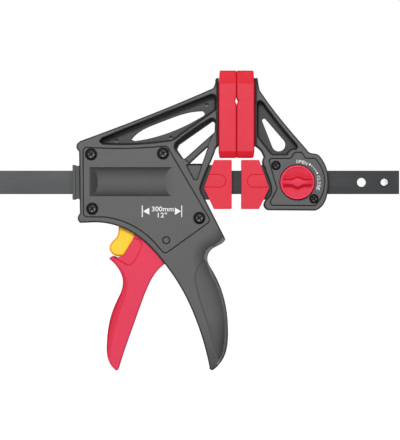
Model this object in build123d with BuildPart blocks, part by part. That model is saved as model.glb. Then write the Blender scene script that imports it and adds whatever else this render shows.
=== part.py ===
"""One-handed quick release bar clamp, 300 mm capacity, as separate pieces.

Millimetres. The origin is on the bar's centre line, in the plane where the two
jaw faces meet. +X runs along the bar towards its free front end, +Z points up
to the jaw tips, and the covers and the knob are on the -Y side.
"""
import os
from math import cos, radians, sin, tan

from build123d import *

# ---------------------------------------------------------------- bar
BAR_HEIGHT = 20.0
BAR_THICKNESS = 6.0
BAR_CORNER = 0.8
BAR_CLEARANCE = 0.3
JAW_TRAVEL = 245.0
INDEX_HOLE_RADIUS = 3.8
LOCK_X = 51.8
INDEX_PITCH = 55.2
STOP_PIN_SPACING = 19.2
STOP_PIN_MARGIN = 13.0
STOP_PIN_RADIUS = 3.0
STOP_PIN_BORE = 2.0
STOP_PIN_LENGTH = 12.0
STOP_PIN_SLIT = 0.8
STOP_PIN_GAP = 0.6

# ---------------------------------------------------------------- handle side
BODY_HALF = 13.0
COVER_THICKNESS = 2.7
WALL = 2.7
LEDGE = 2.2
SEAM_GAP = 0.35
SEAM_ROUND = 3.6
JAW_SEAM_ROUND = 2.7
WEB_HALF = 2.0
POCKET_ROUND = 1.2
PLATE_X = 15.2
PLATE_TOP = 89.0
PLATE_BOTTOM = 31.2
COLLAR_X = -140.1
COLLAR_LIP = 2.6
COLLAR_STEP = 0.7
REAR_GUIDE_DEPTH = 6.0
BODY_REAR_X = -134.4
BODY_SEAM_TOP = 30.2
GUIDE_HALF = 9.0
GUIDE_SKIN = 1.2
GUIDE_WALL = 4.8
BODY_GUIDE_X = (-46.0, -17.0)
SCOOP_DEPTH = 1.2
SCOOP_X = (-125.8, -53.4)
SCOOP_RAMP = 7.3
SCOOP_HALF = 12.4
SCOOP_Z = 0.4

# ---------------------------------------------------------------- screws
SCREW_HEAD_RADIUS = 3.8
SCREW_HEAD_HEIGHT = 1.3
SCREW_SHANK_RADIUS = 1.6
SCREW_LENGTH = 13.0
SCREW_CROSS_LENGTH = 4.2
SCREW_CROSS_WIDTH = 0.9
SCREW_CROSS_DEPTH = 0.8
COUNTERBORE_RADIUS = 4.9
BOSS_RADIUS = 4.0
JAW_SCREW_HEAD_RADIUS = 3.3
JAW_COUNTERBORE_RADIUS = 3.9
JAW_BOSS_RADIUS = 3.3
BODY_SCREWS = ((-124.0, 23.7), (-62.7, 24.5), (-123.1, -22.7), (-31.8, -30.6))
JAW_SCREWS = ((33.6, 14.3), (66.0, -14.2))

# ---------------------------------------------------------------- trigger and release
TRIGGER_PIVOT = (-60.0, -49.5)
TRIGGER_HALF = 9.5
TRIGGER_PIN_RADIUS = 3.0
TRIGGER_HUB = 8.0
TRIGGER_ARM_HALF = 5.0
TRIGGER_ARM_WIDTH = 9.0
NOSE_RADIUS = 2.2
NOSE_DEPTH = 7.5
TRIGGER_SWEEP = 28.0
SLOT_RADIUS = 30.5
HUB_ROOM = 16.0
LEVER_SLOT_RADIUS = 20.5
LEVER_SLOT_ANGLE = 27.0
LEVER_PIVOT = (-99.0, -30.0)
LEVER_HALF = 6.0
LEVER_GAP = 0.6
LEVER_HUB = 4.2
LEVER_PIN_RADIUS = 2.0
LEVER_NOSE_RADIUS = 1.6
LEVER_NOSE = (-103.4, -18.0)
PIN_CLEARANCE = 0.05

# ---------------------------------------------------------------- plates and springs
DRIVE_PLATE_COUNT = 3
DRIVE_PLATE_THICKNESS = 2.4
DRIVE_PLATE_GAP = 0.15
DRIVE_PLATE_HALF = 8.5
DRIVE_PLATE_X = -63.0
PLATE_MARGIN = 7.0
PLATE_TAIL = 14.0
PLATE_SLOT_GAP = 0.25
BRAKE_THICKNESS = 3.0
BRAKE_TILT = 8.0
BRAKE_TOP = (-112.0, 20.0)
BRAKE_LENGTH = 42.0
BRAKE_RIB = 2.0
BRAKE_RIB_GAP = 0.5
BRAKE_RIB_GRIP = 2.5
RETURN_SPRING_RADIUS = 4.6
RETURN_SPRING_WIRE = 1.2
RETURN_SPRING_TURNS = 7
BRAKE_SPRING_RADIUS = 3.6
BRAKE_SPRING_WIRE = 0.9
BRAKE_SPRING_TURNS = 6
SPRING_SEAT_X = -98.2
SPRING_SEAT_THICKNESS = 2.0
RETURN_SPRING_DROP = 6.2
BRAKE_SPRING_DROP = 4.3

# ---------------------------------------------------------------- pads
PAD_HALF = 15.0
PAD_TOP = 95.3
PAD_BOTTOM = 21.1
PAD_BEVEL_TOP = 11.4
PAD_BEVEL_BOTTOM = 5.0
PAD_BEVEL_DEPTH = 2.2
PAD_TAPER = 1.4
PAD_FACE_GAP = 0.1
PAD_GROOVE_Z = 69.5
PAD_GROOVE_HALF = 2.8
PAD_GROOVE_DEPTH = 1.5
LUG_LENGTH = 5.0
LUG_HALF = 5.0
LUG_Z = (48.0, 64.0)
LUG_GAP = 0.2
LOWER_PAD_HALF = 13.6
LOWER_PAD_TOP = 19.0
LOWER_PAD_BOTTOM = -22.8
LOWER_PAD_FACE_X = 4.1
LOWER_PAD_BACK_X = 19.2
LOWER_PAD_TIP = (27.8, -5.0)
LOWER_PAD_CORNER = 0.9
TONGUE_X = 9.2
TONGUE_Z = 1.2
TONGUE_RADIUS = 5.4
TONGUE_LINE = 0.5

# ---------------------------------------------------------------- front jaw
JAW_HALF = 12.5
JAW_COVER_THICKNESS = 2.5
JAW_WALL = 2.5
JAW_GUIDE_X = (17.0, 31.0)
CHANNEL_X = (38.0, 72.0)
CHANNEL_WALL = 2.0
TEARDROP = ((36.1, 32.3, 5.7), (23.7, 52.8, 1.7))

# ---------------------------------------------------------------- knob and lock pin
KNOB_RADIUS = 14.5
KNOB_GAP = 0.4
KNOB_FLANGE_RADIUS = 15.9
KNOB_FLANGE_THICKNESS = 1.6
KNOB_PROUD = 3.9
KNOB_DISH = 1.0
KNOB_RIM = 1.3
KNOB_SKIRT_RADIUS = 10.0
KNOB_ROOF = 1.2
WING_HEIGHT = 2.6
WING_WIDTH = 3.8
WING_BULGE = (5.6, 3.4)
KNOB_QUARTER = 90.0
PIN_RADIUS = 3.6
PIN_FLAT = 3.1
PIN_HEAD_RADIUS = 5.4
PIN_HEAD_LENGTH = 2.6
PIN_TIP_INSET = 0.5
PIN_LIFT = 5.8
GUIDE_PLATE_THICKNESS = 1.6
GUIDE_PLATE_WIDTH = 22.0
DOWEL_RADIUS = 1.1
DOWEL_ROOM = 0.4
DOWEL_STEPS = 12
LOCK_SPRING_WIRE = 0.6
LOCK_SPRING_TURNS = 3
RUNNING_GAP = 0.25

# ---------------------------------------------------------------- worked out
BAR_HALF = BAR_HEIGHT / 2
TUNNEL_HALF = BAR_HALF + BAR_CLEARANCE
TUNNEL_DEPTH = BAR_THICKNESS / 2 + BAR_CLEARANCE
COVER_BACK = -(BODY_HALF - COVER_THICKNESS)
CAVITY_BACK = BODY_HALF - WALL
JAW_COVER_BACK = -(JAW_HALF - JAW_COVER_THICKNESS)
JAW_CAVITY_BACK = JAW_HALF - JAW_WALL
GUIDE_TALL = BAR_HALF + GUIDE_WALL
FRONT_HOLE_X = LOCK_X + INDEX_PITCH
FRONT_PIN_X = FRONT_HOLE_X + STOP_PIN_SPACING
BAR_FRONT_X = FRONT_PIN_X + STOP_PIN_MARGIN
REAR_PIN_X = COLLAR_X - STOP_PIN_RADIUS - STOP_PIN_GAP - JAW_TRAVEL
REAR_HOLE_X = REAR_PIN_X + STOP_PIN_SPACING
BAR_REAR_X = REAR_PIN_X - STOP_PIN_MARGIN
RETURN_SPRING_Z = -BAR_HALF - RETURN_SPRING_DROP
BRAKE_SPRING_Z = -BAR_HALF - BRAKE_SPRING_DROP
REAR_GUIDE_END_X = BODY_REAR_X + REAR_GUIDE_DEPTH
KNOB_FACE_Y = -(JAW_HALF + KNOB_PROUD)
KNOB_DISH_Y = KNOB_FACE_Y + KNOB_DISH
KNOB_BORE_TOP_Y = KNOB_DISH_Y + KNOB_ROOF
FLANGE_FRONT_Y = JAW_COVER_BACK + RUNNING_GAP
GUIDE_PLATE_Y = -TUNNEL_DEPTH - GUIDE_PLATE_THICKNESS
SKIRT_END_Y = GUIDE_PLATE_Y - RUNNING_GAP
DOWEL_Y = SKIRT_END_Y - DOWEL_RADIUS - RUNNING_GAP
PIN_TOP_Y = DOWEL_Y - PIN_HEAD_LENGTH / 2

os.makedirs("parts", exist_ok=True)


def across(y):
    """Sketch plane parallel to the bar's side, at depth y: its x is X and its y is Z."""
    return Plane.XZ.offset(-y)


def along(x):
    """Sketch plane square to the bar at station x: its x is Y and its y is Z."""
    return Plane.YZ.offset(x)


def trace(start, *stretches):
    """Draw a closed outline: one point makes a straight run, more make a curve."""
    here = start
    for stretch in stretches:
        path = [here, *stretch]
        if len(path) == 2:
            Line(*path)
        else:
            Spline(*path)
        here = stretch[-1]
    Line(here, start)


def export(piece, name):
    """Label a finished piece and write it under its node's name."""
    piece.part.label = name
    export_step(piece.part, f"parts/{name}.step")


def bar_tunnel(x_low, x_high):
    """Cut the bar's rectangular passage from x_low to x_high."""
    with BuildSketch(along(x_low)) as profile:
        Rectangle(2 * TUNNEL_DEPTH, 2 * TUNNEL_HALF)
    extrude(profile.sketch, amount=x_high - x_low, mode=Mode.SUBTRACT)


def guide_block(x_low, x_high, gap=0.0, mode=Mode.ADD):
    """Block round the bar that the bar guides are made from, or their seats."""
    with BuildSketch(along(x_low - gap)) as profile:
        Rectangle(2 * (GUIDE_HALF + gap), 2 * (GUIDE_TALL + gap))
    extrude(profile.sketch, amount=x_high - x_low + 2 * gap, mode=mode)


def body_outline():
    """Arm, housing and grip in one run, from the jaw plate's top corner."""
    trace(
        (-PLATE_X, PLATE_TOP),
        [(-PLATE_X, PLATE_BOTTOM)],
        [(-16.9, 30.0), (-18.1, 27.4)],
        [(-24.3, 12.4), (-28.9, 1.2), (-30.8, -5.2)],
        [(-30.0, -8.2), (-27.9, -12.3)],
        [(-9.4, -48.6)],
        [(-11.9, -51.7), (-22.2, -58.1), (-24.9, -65.1), (-20.9, -75.0), (-12.8, -92.1),
         (-8.4, -110.0), (-7.2, -126.0), (-9.5, -146.1), (-14.6, -155.2), (-20.3, -160.2)],
        [(-22.3, -159.8), (-23.2, -157.2)],
        [(-27.8, -138.1), (-36.4, -113.1), (-49.1, -87.2), (-61.6, -69.3), (-74.0, -54.9),
         (-86.8, -44.4), (-99.7, -38.0), (-112.5, -34.8), (-125.4, -34.4)],
        [(-133.4, -34.7)],
        [(-135.5, -31.3), (-133.7, -26.6)],
        [(BODY_REAR_X, 26.1)],
        [(-136.7, 30.8), (-133.1, 35.3)],
        [(-99.7, 47.7), (-65.4, 61.1), (-20.2, 80.2)],
        [(-18.7, 83.2), (-18.1, 87.6)],
        [(-17.0, PLATE_TOP)],
    )


def body_seam():
    """Edge of the inlaid housing cover."""
    with BuildLine() as edge:
        foot = ThreePointArc((-66.6, -55.6), (-88.0, -37.6), (-113.0, -29.8))
        brow = ThreePointArc((-131.0, BODY_SEAM_TOP), (-93.0, BODY_SEAM_TOP - 1.2), (-59.4, 31.2))
        Polyline(foot @ 1, (-130.6, -29.8), brow @ 0)
        Polyline(brow @ 1, (-21.8, -33.2), (-61.2, -61.6), foot @ 0)
    make_face(edge.edges())
    fillet(vertices(), SEAM_ROUND)


def jaw_outline():
    """Front jaw: brace, plate and lock housing, from the plate's top corner."""
    trace(
        (PLATE_X, PLATE_TOP),
        [(18.0, PLATE_TOP)],
        [(18.6, 84.5), (19.8, 78.4)],
        [(28.4, 66.1), (45.9, 44.1), (60.0, 27.9)],
        [(63.4, 25.0), (68.4, 24.1), (73.3, 19.3), (77.2, 10.7), (78.5, 0.0), (77.5, -10.2),
         (73.9, -19.3), (67.2, -24.2)],
        [(27.0, -23.9)],
        [(23.5, -20.6), (25.4, -14.4)],
        [(29.4, -7.4), (28.0, 0.4), (24.0, 12.2)],
        [(22.1, 16.6), (23.3, 21.6)],
        [(18.9, 29.0), (PLATE_X + 1.4, PLATE_BOTTOM - 0.6)],
        [(PLATE_X, PLATE_BOTTOM)],
    )


def jaw_seam():
    """Edge of the front jaw's inlaid cover."""
    with BuildLine() as edge:
        nose = ThreePointArc((67.0, 20.5), (75.3, 0.0), (67.0, -20.2))
        Polyline(nose @ 1, (26.9, -19.8), (34.4, -5.8), (26.9, 20.5), (46.2, 20.4), (49.4, 25.7),
                 (55.8, 25.7), (58.8, 20.5), nose @ 0)
    make_face(edge.edges())
    fillet(vertices(), JAW_SEAM_ROUND)


def arm_pocket():
    """Long recess of the arm above the housing."""
    with BuildLine() as edge:
        trace(
            (-114.6, 37.4),
            [(-65.4, 57.3), (-21.4, 74.8)],
            [(-18.2, 73.6), (-17.6, 69.0)],
            [(-17.9, 62.0)],
            [(-31.2, 52.4), (-48.3, 40.6)],
            [(-54.0, 36.5), (-61.0, 34.9)],
            [(-82.6, 32.8), (-114.2, 32.9)],
            [(-116.4, 35.0)],
        )
    make_face(edge.edges())


def arm_window():
    """Leaf-shaped opening through the arm."""
    with BuildLine() as edge:
        trace(
            (-89.8, 36.6),
            [(-86.6, 40.2), (-65.4, 51.2), (-39.7, 59.8), (-29.0, 60.9)],
            [(-27.3, 59.2), (-31.2, 55.2)],
            [(-48.3, 46.4), (-65.4, 40.0), (-86.8, 35.4)],
        )
    make_face(edge.edges())


def middle_window():
    """Five-sided opening between the long rib and the first strut."""
    with BuildLine() as edge:
        trace(
            (-19.9, 52.3),
            [(-18.4, 50.4)],
            [(-18.8, 42.8)],
            [(-44.9, 19.6)],
            [(-50.6, 28.0)],
            [(-48.9, 32.0)],
        )
    make_face(edge.edges())
    fillet(vertices(), POCKET_ROUND)


def window_pocket():
    """Recess along the upper edge of the five-sided opening."""
    with BuildLine() as edge:
        trace(
            (-18.5, 50.6),
            [(-19.0, 53.6), (-21.8, 54.2)],
            [(-26.9, 51.4), (-35.5, 45.8), (-44.0, 39.8), (-51.3, 34.0)],
            [(-52.7, 30.8), (-51.7, 27.4)],
            [(-46.4, 20.6)],
        )
    make_face(edge.edges())


def side_window():
    """Three-cornered opening between the two struts."""
    with BuildLine() as edge:
        Polyline((-40.2, 15.9), (-29.4, 15.9), (-24.3, 30.6), close=True)
    make_face(edge.edges())
    fillet(vertices(), POCKET_ROUND / 4)


def guide_pocket():
    """Three-cornered recess that shows the bar guide between strut and housing."""
    with BuildLine() as edge:
        Polyline((-42.6, GUIDE_TALL), (-29.9, GUIDE_TALL), (-33.8, 2.6), (-36.0, 2.6), close=True)
    make_face(edge.edges())
    fillet(vertices(), POCKET_ROUND / 2)


def brace_pocket():
    """Long recess of the front jaw's brace."""
    with BuildLine() as edge:
        trace(
            (17.7, 66.6),
            [(19.6, 69.4), (22.2, 68.2)],
            [(37.3, 48.3), (51.2, 31.8)],
            [(51.4, 29.0), (48.6, 28.3)],
            [(46.2, 27.4), (43.2, 23.6)],
            [(30.8, 23.5)],
            [(29.2, 24.4)],
            [(18.6, 38.2)],
            [(17.7, 41.0)],
        )
    make_face(edge.edges())


def brace_window():
    """Teardrop opening through the front jaw's brace."""
    (low_x, low_z, low_r), (high_x, high_z, high_r) = TEARDROP
    with Locations((low_x, low_z)):
        Circle(low_r)
    with Locations((high_x, high_z)):
        Circle(high_r)
    make_hull()


def cut_both_sides(shape, half, floor):
    """Recess a shape into both sides of a piece, down to its central web."""
    for side in (-1, 1):
        with BuildSketch(across(side * half)) as profile:
            shape()
        extrude(profile.sketch, amount=side * (half - floor), mode=Mode.SUBTRACT)


def cut_through(shape, half):
    """Cut a shape right through a piece."""
    with BuildSketch(across(half)) as profile:
        shape()
    extrude(profile.sketch, amount=2 * half, mode=Mode.SUBTRACT)


def seat_and_cavity(seam, half, cover_back, cavity_back):
    """Cut the inlaid cover's seat, and behind its ledge the cavity."""
    with BuildSketch(across(cover_back)) as profile:
        seam()
    extrude(profile.sketch, amount=half + cover_back, mode=Mode.SUBTRACT)
    with BuildSketch(across(cavity_back)) as profile:
        seam()
        offset(amount=-LEDGE)
    extrude(profile.sketch, amount=cavity_back - cover_back, mode=Mode.SUBTRACT)


def screw_bosses(places, radius, cover_back, half, boss_back):
    """Posts that the cover screws turn into, each with its pilot hole."""
    with BuildSketch(across(boss_back)) as profile:
        with Locations(*places):
            Circle(radius)
    extrude(profile.sketch, amount=boss_back - cover_back)
    with BuildSketch(across(SCREW_LENGTH - half)) as profile:
        with Locations(*places):
            Circle(SCREW_SHANK_RADIUS)
    extrude(profile.sketch, amount=SCREW_LENGTH - half - cover_back, mode=Mode.SUBTRACT)


def screw_seats(places, radius, half):
    """Counterbores and clearance holes for a cover's screws."""
    with BuildSketch(across(SCREW_HEAD_HEIGHT - half)) as profile:
        with Locations(*places):
            Circle(radius)
    extrude(profile.sketch, amount=SCREW_HEAD_HEIGHT, mode=Mode.SUBTRACT)
    with BuildSketch(across(0)) as profile:
        with Locations(*places):
            Circle(SCREW_SHANK_RADIUS)
    extrude(profile.sketch, amount=half, mode=Mode.SUBTRACT)


def cover_screws(places, head_radius, half):
    """Cross-recessed screws standing in a cover's counterbores."""
    with BuildSketch(across(SCREW_HEAD_HEIGHT - half)) as profile:
        with Locations(*places):
            Circle(head_radius)
    extrude(profile.sketch, amount=SCREW_HEAD_HEIGHT)
    with BuildSketch(across(SCREW_LENGTH - half)) as profile:
        with Locations(*places):
            Circle(SCREW_SHANK_RADIUS)
    extrude(profile.sketch, amount=SCREW_LENGTH - SCREW_HEAD_HEIGHT)
    with BuildSketch(across(SCREW_CROSS_DEPTH - half)) as profile:
        with Locations(*places):
            Rectangle(SCREW_CROSS_LENGTH, SCREW_CROSS_WIDTH, rotation=35)
            Rectangle(SCREW_CROSS_LENGTH, SCREW_CROSS_WIDTH, rotation=125)
    extrude(profile.sketch, amount=SCREW_CROSS_DEPTH, mode=Mode.SUBTRACT)


def jaw_lug(side, gap=0.0, mode=Mode.ADD):
    """Lug on a jaw plate that a tall pad clips over, or the pad's socket for it."""
    low, high = LUG_Z
    start = side * (PLATE_X + 1.0)
    with BuildSketch(along(start)) as profile:
        with Locations((0, (low + high) / 2)):
            Rectangle(2 * (LUG_HALF + gap), high - low + 2 * gap)
    extrude(profile.sketch, amount=-side * (LUG_LENGTH + 1.0 + gap), mode=mode)


def tongue(side, grow, mode=Mode.ADD):
    """Round-ended tongue outline on a lower pad's cheek, grown by a line's half width."""
    radius = TONGUE_RADIUS + grow
    end_x = side * (TONGUE_X + TONGUE_RADIUS)
    with Locations((end_x, TONGUE_Z)):
        Circle(radius, mode=mode)
    with Locations((end_x + side * LOWER_PAD_TIP[0] / 2, TONGUE_Z)):
        Rectangle(LOWER_PAD_TIP[0], 2 * radius, mode=mode)


def coil(radius, wire, turns, start, end):
    """Round-wire compression spring with its axis from start to end."""
    axis = Vector(*end) - Vector(*start)
    rise = axis.length - 2 * wire
    first = Vector(*start) + axis.normalized() * wire
    with BuildLine() as path:
        Helix(pitch=rise / turns, height=rise, radius=radius, center=first, direction=axis)
    with BuildSketch(Plane(origin=path.line @ 0, z_dir=path.line % 0)) as section:
        Circle(wire / 2)
    sweep(section.sketch, path=path.line, is_frenet=True)


# ================================================================ handle side
def trigger_room():
    """Space in the housing's foot that the trigger and the release lever swing in."""
    pivot_x, pivot_z = TRIGGER_PIVOT
    lever_left = LEVER_PIVOT[0] - LEVER_HUB - LEVER_GAP
    lever_top = LEVER_PIVOT[1] + LEVER_HUB
    with BuildLine() as edge:
        Polyline((lever_left, lever_top), (lever_left, pivot_z - SLOT_RADIUS),
                 (pivot_x, pivot_z - SLOT_RADIUS), (pivot_x, lever_top), close=True)
    make_face(edge.edges())
    with Locations(TRIGGER_PIVOT):
        Circle(HUB_ROOM)
    with BuildLine() as edge:
        swing = CenterArc(TRIGGER_PIVOT, SLOT_RADIUS, -90, TRIGGER_SWEEP + 4)
        Polyline(swing @ 1, TRIGGER_PIVOT, swing @ 0)
    make_face(edge.edges())


def brake_seat():
    """Two ribs that hold the brake plate's top end, with a lintel over it."""
    rib_x = BRAKE_THICKNESS / 2 + BRAKE_RIB_GAP + BRAKE_RIB / 2
    rib_low = BRAKE_TOP[1] - BRAKE_RIB_GRIP
    lintel_low = BRAKE_TOP[1] + BRAKE_RIB_GAP
    seat_top = BODY_SEAM_TOP - LEDGE + BRAKE_RIB_GAP
    with Locations((BRAKE_TOP[0], (rib_low + seat_top) / 2)):
        with GridLocations(2 * rib_x, 0, 2, 1):
            Rectangle(BRAKE_RIB, seat_top - rib_low)
    with Locations((BRAKE_TOP[0], (lintel_low + seat_top) / 2)):
        Rectangle(2 * rib_x, seat_top - lintel_low)


with BuildPart() as handle_body:
    with BuildSketch(across(BODY_HALF)):
        with BuildLine():
            body_outline()
        make_face()
    extrude(amount=2 * BODY_HALF)
    jaw_lug(-1)
    cut_both_sides(arm_pocket, BODY_HALF, WEB_HALF)
    cut_through(arm_window, BODY_HALF)
    cut_both_sides(window_pocket, BODY_HALF, WEB_HALF)
    cut_through(middle_window, BODY_HALF)
    cut_through(side_window, BODY_HALF)
    cut_both_sides(guide_pocket, BODY_HALF, GUIDE_HALF + GUIDE_SKIN)
    seat_and_cavity(body_seam, BODY_HALF, COVER_BACK, CAVITY_BACK)
    screw_bosses(BODY_SCREWS, BOSS_RADIUS, COVER_BACK, BODY_HALF, CAVITY_BACK)
    with BuildSketch(across(CAVITY_BACK)):
        trigger_room()
    extrude(amount=CAVITY_BACK - COVER_BACK, mode=Mode.SUBTRACT)
    with BuildSketch(across(CAVITY_BACK)):
        with Locations((SPRING_SEAT_X, RETURN_SPRING_Z)):
            Rectangle(SPRING_SEAT_THICKNESS, 2 * RETURN_SPRING_RADIUS + 2)
    extrude(amount=CAVITY_BACK + GUIDE_HALF)
    with BuildSketch(across(CAVITY_BACK)):
        brake_seat()
    extrude(amount=CAVITY_BACK + DRIVE_PLATE_HALF)
    with BuildSketch(across(BODY_HALF)):
        with Locations(TRIGGER_PIVOT):
            Circle(TRIGGER_PIN_RADIUS)
        with Locations(LEVER_PIVOT):
            Circle(LEVER_PIN_RADIUS)
    extrude(amount=2 * BODY_HALF, mode=Mode.SUBTRACT)
    guide_block(*BODY_GUIDE_X, mode=Mode.SUBTRACT)
    guide_block(COLLAR_X, REAR_GUIDE_END_X, mode=Mode.SUBTRACT)
    bar_tunnel(COLLAR_X, BODY_GUIDE_X[1])
export(handle_body, "handle_body")

with BuildPart() as body_scoop:
    with BuildSketch(along(SCOOP_X[0])):
        with BuildLine():
            rim = Polyline((-BODY_HALF, SCOOP_Z + SCOOP_HALF), (-BODY_HALF - 1, SCOOP_Z + SCOOP_HALF),
                           (-BODY_HALF - 1, SCOOP_Z - SCOOP_HALF), (-BODY_HALF, SCOOP_Z - SCOOP_HALF))
            ThreePointArc(rim @ 1, (SCOOP_DEPTH - BODY_HALF, SCOOP_Z), rim @ 0)
        make_face()
    extrude(amount=SCOOP_X[1] - SCOOP_X[0])
    with BuildSketch(Plane.XY.offset(SCOOP_Z - SCOOP_HALF)):
        with BuildLine():
            Polyline((SCOOP_X[0], -BODY_HALF), (SCOOP_X[0] + SCOOP_RAMP, SCOOP_DEPTH - BODY_HALF),
                     (SCOOP_X[1] - SCOOP_RAMP, SCOOP_DEPTH - BODY_HALF), (SCOOP_X[1], -BODY_HALF),
                     close=True)
        make_face()
    extrude(amount=2 * SCOOP_HALF, mode=Mode.INTERSECT)

with BuildPart() as body_cover:
    with BuildSketch(across(COVER_BACK)):
        body_seam()
        offset(amount=-SEAM_GAP)
    extrude(amount=COVER_THICKNESS)
    add(body_scoop.part, mode=Mode.SUBTRACT)
    screw_seats(BODY_SCREWS, COUNTERBORE_RADIUS, BODY_HALF)
    with BuildSketch(across(0)):
        with Locations(TRIGGER_PIVOT):
            Circle(TRIGGER_PIN_RADIUS)
    extrude(amount=BODY_HALF, mode=Mode.SUBTRACT)
export(body_cover, "body_cover")

with BuildPart() as body_cover_screws:
    cover_screws(BODY_SCREWS, SCREW_HEAD_RADIUS, BODY_HALF)
export(body_cover_screws, "body_cover_screws")

with BuildPart() as rear_bar_guide:
    guide_block(COLLAR_X, REAR_GUIDE_END_X)
    with BuildSketch(along(COLLAR_X + COLLAR_LIP)):
        Rectangle(2 * GUIDE_HALF + 4, 2 * GUIDE_TALL + 4)
        Rectangle(2 * (GUIDE_HALF - COLLAR_STEP), 2 * (GUIDE_TALL - COLLAR_STEP), mode=Mode.SUBTRACT)
    extrude(amount=BODY_REAR_X - COLLAR_X - COLLAR_LIP, mode=Mode.SUBTRACT)
    bar_tunnel(COLLAR_X, REAR_GUIDE_END_X)
export(rear_bar_guide, "rear_bar_guide")

with BuildPart() as front_bar_guide:
    guide_block(*BODY_GUIDE_X)
    bar_tunnel(*BODY_GUIDE_X)
export(front_bar_guide, "front_bar_guide")

for pin_name, (pin_x, pin_z), pin_radius, pin_front in (
    ("trigger_pivot_pin", TRIGGER_PIVOT, TRIGGER_PIN_RADIUS, BODY_HALF),
    ("release_pivot_pin", LEVER_PIVOT, LEVER_PIN_RADIUS, -COVER_BACK),
):
    with BuildPart() as pivot_pin:
        with BuildSketch(across(BODY_HALF)):
            with Locations((pin_x, pin_z)):
                Circle(pin_radius)
        extrude(amount=BODY_HALF + pin_front)
    export(pivot_pin, pin_name)

# ================================================================ pads
for side, body_name in ((-1, "rear"), (1, "front")):
    with BuildPart() as jaw_pad:
        face_x = side * PAD_FACE_GAP / 2
        back_x = side * PLATE_X
        with BuildSketch(along(face_x)):
            with BuildLine():
                Polyline((-PAD_HALF, PAD_BOTTOM + PAD_BEVEL_BOTTOM), (-PAD_HALF, PAD_TOP - PAD_BEVEL_TOP),
                         (PAD_BEVEL_DEPTH - PAD_HALF, PAD_TOP), (PAD_HALF - PAD_BEVEL_DEPTH, PAD_TOP),
                         (PAD_HALF, PAD_TOP - PAD_BEVEL_TOP), (PAD_HALF, PAD_BOTTOM + PAD_BEVEL_BOTTOM),
                         (PAD_HALF - PAD_BEVEL_DEPTH, PAD_BOTTOM), (PAD_BEVEL_DEPTH - PAD_HALF, PAD_BOTTOM),
                         close=True)
            make_face()
        extrude(amount=back_x - face_x)
        end_x = back_x - side * PAD_TAPER
        with BuildSketch(across(PAD_HALF)):
            with BuildLine():
                Polyline((face_x, PAD_BOTTOM), (end_x, PAD_BOTTOM), (back_x, PAD_BOTTOM + PAD_BEVEL_BOTTOM),
                         (back_x, PAD_TOP - PAD_BEVEL_TOP), (end_x, PAD_TOP), (face_x, PAD_TOP), close=True)
            make_face()
        extrude(amount=2 * PAD_HALF, mode=Mode.INTERSECT)
        with BuildSketch(across(PAD_HALF)):
            with BuildLine():
                Polyline((face_x, PAD_GROOVE_Z + PAD_GROOVE_HALF),
                         (side * PAD_GROOVE_DEPTH, PAD_GROOVE_Z),
                         (face_x, PAD_GROOVE_Z - PAD_GROOVE_HALF), close=True)
            make_face()
        extrude(amount=2 * PAD_HALF, mode=Mode.SUBTRACT)
        jaw_lug(side, gap=LUG_GAP, mode=Mode.SUBTRACT)
    export(jaw_pad, f"{body_name}_jaw_pad")

    with BuildPart() as lower_pad:
        with BuildSketch(across(LOWER_PAD_HALF)):
            with BuildLine():
                Polyline((side * LOWER_PAD_FACE_X, LOWER_PAD_TOP), (side * LOWER_PAD_BACK_X, LOWER_PAD_TOP),
                         (side * LOWER_PAD_TIP[0], LOWER_PAD_TIP[1]),
                         (side * LOWER_PAD_BACK_X, LOWER_PAD_BOTTOM),
                         (side * LOWER_PAD_FACE_X, LOWER_PAD_BOTTOM), close=True)
            make_face()
            fillet(vertices(), LOWER_PAD_CORNER)
        extrude(amount=2 * LOWER_PAD_HALF)
        near, far = sorted((BODY_GUIDE_X if side < 0 else JAW_GUIDE_X), key=abs)
        guide_block(min(near, far), max(near, far), mode=Mode.SUBTRACT)
        bar_tunnel(-LOWER_PAD_TIP[0], LOWER_PAD_TIP[0])
        with BuildSketch(across(TONGUE_LINE - LOWER_PAD_HALF)):
            tongue(side, TONGUE_LINE / 2)
            tongue(side, -TONGUE_LINE / 2, Mode.SUBTRACT)
        extrude(amount=TONGUE_LINE, mode=Mode.SUBTRACT)
    export(lower_pad, f"{body_name}_lower_pad")

# ================================================================ mechanism
with BuildPart() as drive_plates:
    for index in range(DRIVE_PLATE_COUNT):
        plate_x = DRIVE_PLATE_X - index * (DRIVE_PLATE_THICKNESS + DRIVE_PLATE_GAP)
        with BuildSketch(along(plate_x)):
            with Locations((0, (PLATE_MARGIN - PLATE_TAIL) / 2)):
                Rectangle(2 * DRIVE_PLATE_HALF, BAR_HEIGHT + PLATE_MARGIN + PLATE_TAIL)
            fillet(vertices(), POCKET_ROUND)
            Rectangle(BAR_THICKNESS + 2 * PLATE_SLOT_GAP, BAR_HEIGHT + 2 * PLATE_SLOT_GAP,
                      mode=Mode.SUBTRACT)
        extrude(amount=-DRIVE_PLATE_THICKNESS)
export(drive_plates, "drive_plates")

brake_frame = Plane(origin=(BRAKE_TOP[0], 0, BRAKE_TOP[1]),
                    x_dir=(0, 1, 0), z_dir=(cos(radians(BRAKE_TILT)), 0, sin(radians(BRAKE_TILT))))
with BuildPart() as brake_plate:
    with BuildSketch(brake_frame):
        with Locations((0, -BRAKE_LENGTH / 2)):
            Rectangle(2 * DRIVE_PLATE_HALF, BRAKE_LENGTH)
        fillet(vertices(), POCKET_ROUND)
        slot_height = BAR_HEIGHT / cos(radians(BRAKE_TILT)) + BRAKE_THICKNESS * tan(radians(BRAKE_TILT))
        with Locations((0, -BRAKE_TOP[1] / cos(radians(BRAKE_TILT)))):
            Rectangle(BAR_THICKNESS + 2 * PLATE_SLOT_GAP, slot_height + 2 * PLATE_SLOT_GAP,
                      mode=Mode.SUBTRACT)
    extrude(amount=BRAKE_THICKNESS / 2, both=True)
export(brake_plate, "brake_plate")

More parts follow.
